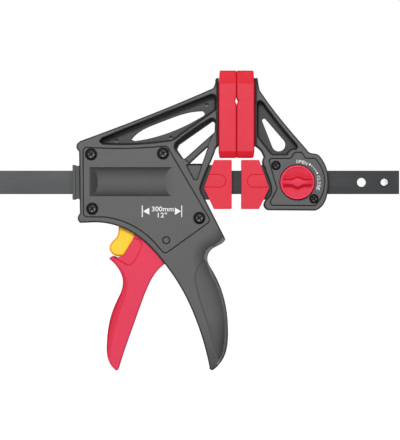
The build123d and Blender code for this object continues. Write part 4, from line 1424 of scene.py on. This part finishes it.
@dataclass(frozen=True)
class FingerFacet:
    """The trigger's finger facet, a plane that falls away from its line.

    Attributes:
        line: the facet's edge.
        far: closes the patch in front of the line.
        slope: fall for each millimetre from the line.
        deepest: the fall at which it ends.
    """

    line: tuple = ((-112.0, -60.0), (-104.4, -66.4), (-99.7, -71.6), (-94.6, -79.3), (-92.4, -87.8),
                   (-93.7, -96.4), (-98.0, -109.3), (-102.3, -123.0), (-105.7, -138.4), (-108.4, -156.0))
    far: tuple = ((-135.0, -164.0), (-135.0, -60.0))
    slope: float = 0.6
    deepest: float = 3.6

    def relief(self) -> Relief:
        """The facet's relief and its points."""
        line = smooth_path(self.line, 1.0)
        patch = np.vstack([line, self.far])

        def depth(points: Array) -> Array:
            fall = np.minimum(self.slope * to_path(points, line), self.deepest)
            return np.where(within(points, patch), fall, 0.0)

        # Painted shade on the facet, growing away from its line.
        def shade(points: Array) -> Array:
            return np.where(within(points, patch), 0.62 * ease(to_path(points, line) / 1.2), 0.0)

        return Relief(depth, beside(line, (-0.9, -0.45, 0.0, 0.45, 0.9)), shade)


@dataclass(frozen=True)
class FootPocket:
    """The trigger's recess round the lever's foot, with a soft step along its line.

    Attributes:
        line: the recess's edge.
        far: closes the patch behind the line.
        deep: depth of the recess.
        soft: width of the step.
    """

    line: tuple = ((-92.0, -46.0), (-86.4, -47.9), (-82.6, -49.3), (-81.1, -54.4), (-84.3, -61.7),
                   (-88.1, -68.1), (-92.4, -70.7), (-98.8, -67.3), (-104.6, -64.2))
    far: tuple = ((-112.0, -52.0), (-100.0, -38.0))
    deep: float = 1.5
    soft: float = 2.4

    def relief(self) -> Relief:
        """The recess's relief and its points."""
        line = smooth_path(self.line, 0.8)
        patch = np.vstack([line, self.far])

        def depth(points: Array) -> Array:
            away = to_path(points, line) * np.where(within(points, patch), 1.0, -1.0)
            return self.deep * ease(away / self.soft + 0.5)

        # Painted shade along the recess's line.
        def shade(points: Array) -> Array:
            return 0.62 * np.clip(1.3 - to_path(points, line) / 1.2, 0, 1)

        return Relief(depth, beside(line, (-1.2, -0.8, -0.4, 0.0, 0.4, 0.8, 1.2)), shade)


@dataclass(frozen=True)
class KnobForm:
    """The knob's top over its base: a rim ring round a dish, and a wing across it.

    Attributes:
        centre: the knob's (x, z).
        ring: inner radius of the rim ring.
        ring_level: height of the ring over the base.
        dish_level: height of the dish's middle.
        wing_level: height of the wing.
        wing: the wing's half width.
        bulge: half length and extra half width of the diamond at the wing's middle.
        walls: widths of the wing's lower and upper wall.
        grooves: depths of the grooves below and above the wing.
    """

    centre: Pair = KNOB_AT
    ring: float = 13.1
    ring_level: float = 1.6
    dish_level: float = 0.55
    wing_level: float = 3.15
    wing: float = 1.8
    bulge: Pair = (5.6, 1.9)
    walls: Pair = (2.6, 1.8)
    grooves: Pair = (0.7, 0.28)

    def half_at(self, x: Array) -> Array:
        """The wing's half width at x from the knob's centre."""
        return self.wing + self.bulge[1] * ease(1 - np.abs(x) / self.bulge[0])

    def spots(self, points: Array) -> tuple[Array, Array, Array, Array]:
        """Each point's x and z from the centre, its radius, and its distance outside
        the wing's edge."""
        x, z = (points - self.centre).T
        return x, z, np.hypot(x, z), np.abs(z) - self.half_at(x)

    def depth(self, points: Array) -> Array:
        """The highest of dish, ring and wing; a wall is a smooth step, and a groove a
        bell curve 2 mm outside the wing's edge."""
        _, z, r, edge = self.spots(points)
        bowl = self.dish_level + 0.25 * (r / self.ring) ** 2
        ring = self.ring_level * ease((r - self.ring + 0.9) / 0.9)
        across = 1 - ease((edge + 0.35) / np.where(z < 0, *self.walls))
        bowl -= np.where(z < 0, *self.grooves) * np.exp(-((edge - 2.0) / 1.1) ** 2)
        along = 1 - ease((r - self.ring + 0.2) / 1.0)
        wing = self.dish_level + (self.wing_level - self.dish_level) * across * along
        return -np.maximum(np.maximum(bowl, ring), wing)

    def shade(self, points: Array) -> Array:
        """Painted shade beside the wing, most of all below it, and a painted highlight on the ring."""
        x, z, r, edge = self.spots(points)
        inner = 1 - ease((r - self.ring + 0.9) / 0.5)
        upper = 0.70 + 0.25 * np.clip(1.25 - edge / 6, 0, 1)
        lower = 0.42 + 0.5 * np.clip(1 - edge / 6, 0, 1)
        near = np.where(z < 0, np.clip(2.2 - np.abs(edge - 1.5) / 1.25, 0, 1),
                        np.clip(1.5 - np.abs(edge - 0.7) / 1.1, 0, 1))
        bowl = np.maximum(np.where(z < 0, lower, upper), near) * inner
        wing = 0.16 + 0.35 * ease(0.4 - z / 2.4) + 0.55 * ease((np.abs(x) - 4) / 8)
        side = np.where(edge > -0.35, bowl, wing)
        return np.where(r < self.ring - 0.4, side, np.where(r < self.ring, 0.55, -1.0))

    def relief(self) -> Relief:
        """The top's relief, with rows of points along the wing and rings at the rim."""
        x = np.arange(-13.2, 13.3, 0.5)
        rows = [np.column_stack([x, side * (self.half_at(x) + d)]) for side in (-1, 1)
                for d in (-0.8, -0.35, 0.1, 0.5, 0.9, 1.3, 1.8, 2.3, 2.9, 3.6)]
        turn = np.linspace(0, 2 * math.pi, 121)[:-1]
        rings = [np.column_stack([np.cos(turn), np.sin(turn)]) * r
                 for r in (12.2, 12.45, 12.7, 12.95, 13.2, 13.5, 13.8)]
        seeds = np.vstack([*rows, *rings])
        return Relief(self.depth, seeds[np.hypot(*seeds.T) < 14.0] + self.centre, self.shade)


# ---------------------------------------------------------------- sub-assemblies
@dataclass(frozen=True)
class Frame:
    """A moulding of pockets and windows with a web along its middle plane.

    Attributes:
        half: distance of its sides from the centre plane.
        rims: roundings of the front's loops, outline and cover's seam first.
        back_rims: roundings of the back's loops, outline first.
        web_rims: roundings of the web's loops.
        web_dim: least painted shade of the web.
        web_under: reach of the painted shadow below the walls that stand on the web.
    """

    half: float
    rims: tuple[Rim, ...]
    back_rims: tuple[Rim, ...]
    web_rims: tuple[Rim, ...]
    web_dim: float
    web_under: float

    def faces(self, forms: tuple[Relief, ...]) -> list[SideFace]:
        """Both sides of the web and of the moulding.

        Args:
            forms: the reliefs of the moulding's sides.

        Returns:
            The faces, in the order in which they are laid.
        """
        webs = [SideFace(side, WEB, self.web_rims, lattice=1.5, dim=self.web_dim, under=self.web_under)
                for side in Side]
        return webs + [SideFace(side, self.half, rims, forms)
                       for side, rims in zip(Side, (self.rims, self.back_rims))]


@dataclass(frozen=True)
class SeamShadowLip:
    """Lip on a cover's back along its lower seam, which closes the seam to the light: a dark sheet that makes
    the seam show as shade.

    Attributes:
        line: the seam's line.
        reach: half the lip's width.
        back: distance of the cover's back from the centre plane.
        thickness: the lip's thickness.
    """

    line: tuple = ((-66.2, -55.9), (-76.0, -46.0), (-88.0, -37.8), (-100.0, -32.7), (-112.0, -30.0))
    reach: float = 0.9
    back: float = 9.95
    thickness: float = 0.33

    def mesh(self) -> Mesh:
        """A strip of rectangular section, carried along the line and closed at its ends."""
        line = smooth_path(self.line, 1.0)
        inner, outer = (beside(line, (way * self.reach,)) for way in (-1, 1))
        front = self.back + self.thickness
        rows = [np.column_stack([edge[:, 0], np.full(len(edge), -y), edge[:, 1]])
                for edge, y in ((inner, front), (outer, front), (outer, self.back), (inner, self.back))]
        n = len(line)
        step = np.arange(n - 1)
        faces = [(0, n, 2 * n, 3 * n), (4 * n - 1, 3 * n - 1, 2 * n - 1, n - 1)]
        for row in range(4):
            near, far = row * n + step, (row + 1) % 4 * n + step
            faces += np.column_stack([near, near + 1, far + 1, far]).tolist()
        mesh = mesh_from("seam_shadow_lip", np.vstack(rows), faces)
        solid = bmesh.new()
        solid.from_mesh(mesh)
        bmesh.ops.recalc_face_normals(solid, faces=solid.faces)
        solid.to_mesh(mesh)
        solid.free()
        return mesh


@dataclass(frozen=True)
class EjectorMarks:
    """Round moulding marks on a web, each with a painted highlight below and painted shade above.

    Attributes:
        places: the marks' (x, z).
        radius: the marks' radius.
        profile: (r, h) of a mark from its middle outwards and back.
    """

    places: tuple = ((-102.7, 35.5), (-56.0, 38.1), (-25.6, 66.3))
    radius: float = 1.9
    profile: tuple = ((0.0, 0.1), (0.9, 0.12), (1.2, 0.3), (1.5, 0.34), (1.8, 0.2), (1.9, -0.1), (0.0, -0.1))

    def mesh(self) -> Mesh:
        """The turned marks with their painted highlight and shade in the rim mask."""
        marks = turned(self.profile, self.places, WEB)
        marks.shade_smooth()
        x, _, z = read(marks.vertices, "co", 3).T / MM
        centres = np.array(self.places)
        nearest = np.hypot(x[:, None] - centres[:, 0], z[:, None] - centres[:, 1]).argmin(1)
        up = (z - centres[nearest, 1]) / self.radius
        # painted highlight on each mark's lower part, painted shade on its upper part
        value = np.where(up < -0.1, -0.9, 0.95).astype(np.float32)
        marks.attributes.new(RIM, "FLOAT", "POINT").data.foreach_set("value", value)
        return marks


SEAM_RIM = Rim(0.65, 0.6, 3, 0.68)


@dataclass
class HandleSide:
    """The fixed side: arm, housing and grip in one moulding, its cover and small parts."""

    bench: Bench
    frame: Frame = Frame(
        HOUSING, (Rim(1.7, 1.6, 5), SEAM_RIM, Rim(1.4, 1.5, 5), Rim(1.3, 2.2, 5)),
        (Rim(1.7, 1.6, 5), Rim(1.4, 1.5, 5), Rim(1.3, 2.2, 5)),
        (Rim(2.2, -1.5, 4), Rim(0.6, 0.5, 3, 0.8), Rim(0.5, 0.0, 2, 0.6)), web_dim=0.50, web_under=5.4)
    screw_rim: Rim = Rim(0.7, 0.6, 3)
    screw_places: tuple = ((-124.0, 23.7), (-62.7, 24.5), (-123.1, -22.7), (-31.8, -30.6))
    springs: tuple[Spring, ...] = (Spring("return_spring", "handle", "trigger_squeeze", 0, 15.7, 1.2),
                                   Spring("brake_spring", "handle", "release_pull", 0, 2.8, 0.9))
    cover_sunk: float = 1.25

    def build(self) -> None:
        """Makes every piece of the handle side."""
        bench, half = self.bench, self.frame.half
        forms = tuple(form.relief() for form in (PalmSwell(), Notch(), LowStrut(), PlateStrip(-PLATE_X)))
        bench.relay("handle_body", "handle", Finish.BODY, self.frame.faces(forms))
        cover = SideFace(Side.FRONT, half, (SEAM_RIM, self.screw_rim), (Scoop().relief(),),
                         swept=self.cover_sunk)
        bench.relay("body_cover", "handle", Finish.BODY, [cover])
        bench.cap("rear_bar_guide", "handle", Finish.BODY, 0.9, plain=0.36)
        bench.soften("front_bar_guide", Finish.GUIDE, 0.4)
        bench.soften("release_pivot_pin", Finish.STEEL, 0.2)
        for spring in self.springs:
            spring.build(bench)
        bench.soften("drive_plates", Finish.STEEL, 0.2)
        bench.soften("brake_plate", Finish.STEEL, 0.2)
        bench.add(SeamShadowLip().mesh(), "seam_shadow_lip", "handle", Finish.GUIDE)
        ends = [SideFace(side, half, (Rim(0.9, 0.7, 4),), lattice=1.2, longest=0.8) for side in Side]
        bench.relay("trigger_pivot_pin", "handle", Finish.BODY, ends)
        bench.add(EjectorMarks().mesh(), "ejector_marks", "handle", Finish.BODY)
        bench.screws("body_cover_screws", "handle", self.screw_places, half, 3.8, 4.65)


@dataclass
class Levers:
    """The trigger and the small release lever over it."""

    bench: Bench
    trigger_half: float = 9.5
    lever_half: float = 6.0
    trigger_rim: Rim = Rim(1.3, 1.2, 5, 0.5)
    lever_rim: Rim = Rim(2.2, 1.9, 6)
    bore_rim: Rim = Rim(0.3, 0.2, 2)

    def build(self) -> None:
        """Makes the trigger and the lever."""
        forms = (FingerFacet().relief(), FootPocket().relief())
        rims = (self.trigger_rim, self.bore_rim)
        trigger = [SideFace(side, self.trigger_half, rims, forms) for side in Side]
        self.bench.relay("trigger", "trigger", Finish.RED, trigger)
        rims = (self.lever_rim, self.bore_rim)
        lever = [SideFace(side, self.lever_half, rims, lattice=2.5) for side in Side]
        self.bench.relay("release_lever", "release", Finish.YELLOW, lever)


@dataclass
class JawSide:
    """The bar with its jaw: moulding, cover, knob and pads."""

    bench: Bench
    frame: Frame = Frame(
        JAW, (Rim(1.6, 1.5, 5), SEAM_RIM, Rim(1.2, 1.3, 5)), (Rim(1.6, 1.5, 5), Rim(1.2, 1.3, 5)),
        (Rim(1.8, -1.2, 4), Rim(0.6, 0.5, 3, 0.9)), web_dim=0.60, web_under=3.4)
    knob_rim: Rim = Rim(0.5, 0.45, 3)
    screw_rim: Rim = Rim(0.35, 0.30, 2)
    screw_places: tuple = ((33.6, 14.3), (66.0, -14.2))
    lock_spring: Spring = Spring("lock_pin_spring", "knob", "knob_turn", 1, 5.8, 0.6)
    knob_base: float = 14.8

    def build(self) -> None:
        """Makes every piece that rides with the bar."""
        bench, half = self.bench, self.frame.half
        faces = self.frame.faces((PlateStrip(PLATE_X).relief(),))
        bench.relay("front_jaw_body", "bar_and_jaw", Finish.BODY, faces)
        cover = SideFace(Side.FRONT, half, (SEAM_RIM, self.knob_rim, self.screw_rim))
        bench.relay("front_jaw_cover", "bar_and_jaw", Finish.BODY, [cover])
        bench.soften("bar", Finish.BAR, 0.5)
        bench.paint("end_stop_pins", Finish.STEEL)
        bench.screws("front_jaw_cover_screws", "bar_and_jaw", self.screw_places, half, 3.3, 3.72)
        bench.paint("front_jaw_bar_guide", Finish.GUIDE)
        for name in ("lock_pin_guide", "lock_pin", "lock_pin_dowel"):
            bench.paint(name, Finish.STEEL)
        self.lock_spring.build(bench)
        self.knob()
        Pads(bench).build()

    def knob(self) -> None:
        """Cuts the knob's top off its solid and lays the new one."""
        bm = merged(self.bench.nodes["release_knob"])
        bmesh.ops.bisect_plane(bm, geom=[*bm.verts, *bm.edges, *bm.faces], dist=1e-7,
                               plane_co=(0, -self.knob_base * MM, 0), plane_no=(0, -1, 0), clear_outer=True)
        skin = Skin.of(mesh_of(bm, "knob_base"))
        rims = (Rim(0.8, 0.55, 4, 0.25),)
        SideFace(Side.FRONT, self.knob_base, rims, (KnobForm().relief(),), lattice=0.7).rebuild(skin)
        name = "release_knob_moulding"
        self.bench.dress(skin.to_mesh(name), name, "release_knob", "knob", Finish.RED)


@dataclass
class Pads:
    """Soft moulded caps of both jaws."""

    bench: Bench
    width: float = 1.0
    # painted shade on the pads' bevel bands
    band: float = 1.0
    taper_line: float = 15.2
    taper_zone: Pair = (26.0, 84.0)
    taper_share: float = 0.55
    taper_from: float = 10.0

    def build(self) -> None:
        """Makes the four pads from their solids, with rounded edges."""
        for place, shape in (("jaw", self.fuller), ("lower", None)):
            for side, body in (("rear", "handle"), ("front", "bar_and_jaw")):
                self.bench.cap(f"{side}_{place}_pad", body, Finish.PAD, self.width, shape, self.band)

    def fuller(self, point: Array) -> Array:
        """Fills out a tall pad's corners: at its ends a back corner keeps only a share of
        its lean, so the soft cap looks nearly straight."""
        low, high = self.taper_zone
        out = abs(point[0])
        if low < point[2] < high or out < self.taper_from:
            return point
        moved = out + (self.taper_line - out) * (1 - self.taper_share)
        return np.array([math.copysign(moved, point[0]), point[1], point[2]])


# ---------------------------------------------------------------- prints
@dataclass
class Prints:
    """Pad-printed marks: the opening's size, and the knob's two words and arrow."""

    bench: Bench
    thickness: float = 0.05
    bars: tuple = (-80.4, -46.8)
    bar_z: Pair = (-29.6, -19.9)
    bar_wide: float = 0.8
    tips: tuple = ((-79.6, -74.4), (-47.5, -52.6))
    tip_z: float = -24.7
    tip_half: float = 3.1
    size_boxes: tuple = (("300mm", (-72.3, -24.9, -53.7, -20.7)), ("12\"", (-67.2, -30.0, -59.4, -25.8)))
    words: tuple = (("OPEN", 17.7, (90.0, 64.8)), ("CLOSE", 18.5, (14.4, -17.6)))
    letter: Pair = (2.0, 2.75)
    dashes: tuple[float, float, int] = (48.5, 31.5, 4)
    heads: tuple = (55.6, 24.4)
    arrow_radius: float = 18.6

    def build(self) -> None:
        """Prints the housing's size mark and the knob's marks."""
        ink = PrintedInk("white_print", (0.88, 0.88, 0.88)).make()
        low, high = self.bar_z
        left, right = -self.bar_wide / 2, self.bar_wide / 2
        shapes = [[(x + left, low), (x + right, low), (x + right, high), (x + left, high)] for x in self.bars]
        shapes += [[(tip, self.tip_z), (foot, self.tip_z - self.tip_half), (foot, self.tip_z + self.tip_half)]
                   for tip, foot in self.tips]
        self.bench.add(self.slabs(shapes, HOUSING), "size_mark_arrows", "handle", ink)
        for number, (text, box) in enumerate(self.size_boxes):
            name = f"size_mark_text_{number}"
            self.bench.add(self.lettering(text, box, HOUSING, name), name, "handle", ink)
        self.bench.add(self.slabs(self.arrow(), JAW), "knob_arrow", "bar_and_jaw", ink)
        for word, radius, (first, last) in self.words:
            for place, sign in enumerate(word):
                turn = first + (last - first) * place / (len(word) - 1)
                wide, high = self.letter
                name = f"knob_mark_{word.lower()}_{place}"
                box = (-wide / 2, radius - high / 2, wide / 2, radius + high / 2)
                mesh = self.lettering(sign, box, JAW, name, turn - 90.0, KNOB_AT)
                self.bench.add(mesh, name, "bar_and_jaw", ink)

    def arrow(self) -> list[Array]:
        """Dashes and two heads along an arc about the knob: corner (r, a) lies at
        centre + r (cos a, sin a).

        Returns:
            The outlines.
        """
        def at(radius: Array, turn: Array) -> Array:
            a = np.radians(turn)
            return np.column_stack([np.cos(a), np.sin(a)]) * np.asarray(radius)[:, None] + KNOB_AT

        first, last, count = self.dashes
        r = self.arrow_radius
        middles = np.linspace(first, last, count)
        shapes = [at(np.array([r - 0.45, r + 0.45, r + 0.45, r - 0.45]),
                     np.array([turn - 1.3, turn - 1.3, turn + 1.3, turn + 1.3])) for turn in middles]
        for turn, way in zip(self.heads, (1, -1)):
            turns = turn + way * np.array([3.0, -1.2, -3.4, -1.2])
            shapes.append(at(r + np.array([0.0, 1.0, 0.0, -1.0]), turns))
        return shapes

    def slabs(self, shapes: Iterable, level: float) -> Mesh:
        """Flat outlines as thin closed slabs that lie on a side: each outline once at
        the side and once a print's thickness before it, joined by a band.

        Args:
            shapes: outlines of (x, z), either way round.
            level: distance of the side from the centre plane.

        Returns:
            One mesh.
        """
        points, faces = [], []
        for shape in shapes:
            flat = np.asarray(shape, float)
            x, z = flat.T
            if (x * np.roll(z, -1) - np.roll(x, -1) * z).sum() < 0:
                flat = flat[::-1]
            base, n = sum(len(part) for part in points), len(flat)
            for y in (-(level + self.thickness), -(level - SINK)):
                points.append(np.column_stack([flat[:, 0], np.full(n, y), flat[:, 1]]))
            ring = np.arange(n)
            ahead = (ring + 1) % n
            faces += [(base + ring).tolist(), (base + n + ring[::-1]).tolist()]
            faces += np.column_stack([base + ahead, base + ring, base + n + ring, base + n + ahead]).tolist()
        return mesh_from("slabs", np.vstack(points), faces)

    def lettering(self, text: str, box: tuple[float, float, float, float], level: float, name: str,
                  turn: float = 0.0, centre: Pair = (0.0, 0.0)) -> Mesh:
        """Text as a thin closed mesh, stretched to a box and turned about a centre.

        Args:
            text: the characters.
            box: lowest x and z, highest x and z, before the turn.
            level: distance of the side from the centre plane.
            name: the mesh's name.
            turn: degrees about the centre, anticlockwise seen from the front.
            centre: the turn's centre.

        Returns:
            The mesh.
        """
        curve = bpy.data.curves.new(name, "FONT")
        curve.body = text
        curve.offset = 0.012
        curve.resolution_u = 3
        curve.extrude = 0.5
        holder = bpy.data.objects.new(name, curve)
        mesh = bpy.data.meshes.new_from_object(holder)
        bpy.data.objects.remove(holder)
        points = read(mesh.vertices, "co", 3)
        low, high = points.min(0), points.max(0)
        share = (points - low) / (high - low)
        x = box[0] + share[:, 0] * (box[2] - box[0])
        z = box[1] + share[:, 1] * (box[3] - box[1])
        a = math.radians(turn)
        placed = np.column_stack([centre[0] + x * math.cos(a) - z * math.sin(a),
                                  -(level - SINK + share[:, 2] * (self.thickness + SINK)),
                                  centre[1] + x * math.sin(a) + z * math.cos(a)])
        mesh.vertices.foreach_set("co", (placed * MM).ravel())
        mesh.update()
        return mesh


# ---------------------------------------------------------------- studio
@dataclass
class Studio:
    """Pale floor, plain light and the camera."""

    centre: Pair = (-31.2, -32.2)
    distance: float = 2700.0
    frame_height: float = 376.9
    sensor: float = 36.0
    floor_half: float = 3.0
    floor_tone: float = 0.86
    glow: float = 1.25
    glow_share: float = 0.78
    ambient: float = 0.30

    def build(self, floor_z: float) -> None:
        """Sets up floor, world, lamps and camera.

        Args:
            floor_z: height of the floor in metres.
        """
        bpy.context.scene.view_settings.view_transform = "Standard"
        self.floor(floor_z)
        self.world()
        self.lamps()
        self.camera()

    def floor(self, floor_z: float) -> None:
        """White floor that shows as white and keeps the soft shadow."""
        span = self.floor_half
        mesh = bpy.data.meshes.new("floor")
        square = ((-span, -span), (span, -span), (span, span), (-span, span))
        mesh.from_pydata([(x, y, floor_z) for x, y in square], [], [(0, 1, 2, 3)])
        obj = piece_from(mesh, "floor")
        made, w, shader = shader_of("floor_white")
        w.fill(shader, Base_Color=rgba((self.floor_tone,) * 3), Roughness=0.9, Specular_IOR_Level=0.0)
        glow = w.node("ShaderNodeEmission")
        mixed = w.node("ShaderNodeMixShader")
        seen = w.node("ShaderNodeLightPath").outputs["Is Camera Ray"]
        w.fill(glow, Strength=self.glow)
        for slot, value in zip(mixed.inputs, (w.math("MULTIPLY", seen, self.glow_share), shader.outputs[0],
                                              glow.outputs[0])):
            w.feed(slot, value)
        w.link(mixed.outputs[0], made.node_tree.nodes["Material Output"].inputs["Surface"])
        mesh.materials.append(made)
        obj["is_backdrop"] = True

    def world(self) -> None:
        """White to the eye and to mirrors, dimmer as light."""
        world = bpy.data.worlds.new("studio")
        bpy.context.scene.world = world
        world.use_nodes = True
        w = Wiring(world.node_tree)
        back = world.node_tree.nodes["Background"]
        path = w.node("ShaderNodeLightPath")
        seen = w.math("MAXIMUM", path.outputs["Is Camera Ray"],
                      w.math("MAXIMUM", path.outputs["Is Glossy Ray"], path.outputs["Is Transmission Ray"]))
        w.fill(back, Color=rgba((1.0, 1.0, 1.0)), Strength=w.plus(self.ambient, seen, 1.0 - self.ambient))

    def lamps(self) -> None:
        """Round soft boxes: a key near the lens, one at the side and two behind."""
        for name, place, size, power in (
            ("key", (-0.2, -2.45, 1.0), 0.8, 47.0),
            ("side", (-2.2, -0.6, 0.5), 1.2, 10.0),
            ("rear_high", (0.8, 1.6, 1.6), 1.2, 16.0),
            ("rear_low", (-1.2, 1.6, 0.2), 1.2, 9.0),
        ):
            lamp = bpy.data.lights.new(name, "AREA")
            lamp.shape = "DISK"
            lamp.size = size
            lamp.energy = power
            aim = Vector((self.centre[0] * MM, 0, self.centre[1] * MM)) - Vector(place)
            piece_from(lamp, name, place).rotation_euler = aim.to_track_quat("-Z", "Y").to_euler()

    def camera(self) -> None:
        """Long lens, level, square to the clamp's side."""
        lens = bpy.data.cameras.new("camera")
        lens.sensor_fit = "VERTICAL"
        lens.sensor_height = self.sensor
        lens.lens = self.sensor * self.distance / self.frame_height
        lens.clip_end = 20.0
        place = (self.centre[0] * MM, -self.distance * MM, self.centre[1] * MM)
        camera = piece_from(lens, "camera", place)
        camera.rotation_euler = (math.pi / 2, 0, 0)
        bpy.context.scene.camera = camera


def corners(box: tuple[Vector, Vector]) -> list[list[float]]:
    """A box as plain lists."""
    return [[float(part) for part in corner] for corner in box]


def main() -> None:
    """Builds the clamp's finishes and the studio, piece by piece."""
    logging.basicConfig(level=logging.INFO, format="%(name)s: %(message)s")
    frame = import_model()
    cad_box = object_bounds()
    bench = Bench(frame["nodes"], mix_palette())
    HandleSide(bench).build()
    Levers(bench).build()
    JawSide(bench).build()
    Prints(bench).build()
    Studio().build(cad_box[0][2] - FLOOR_GAP)


if __name__ == "__main__":
    main()
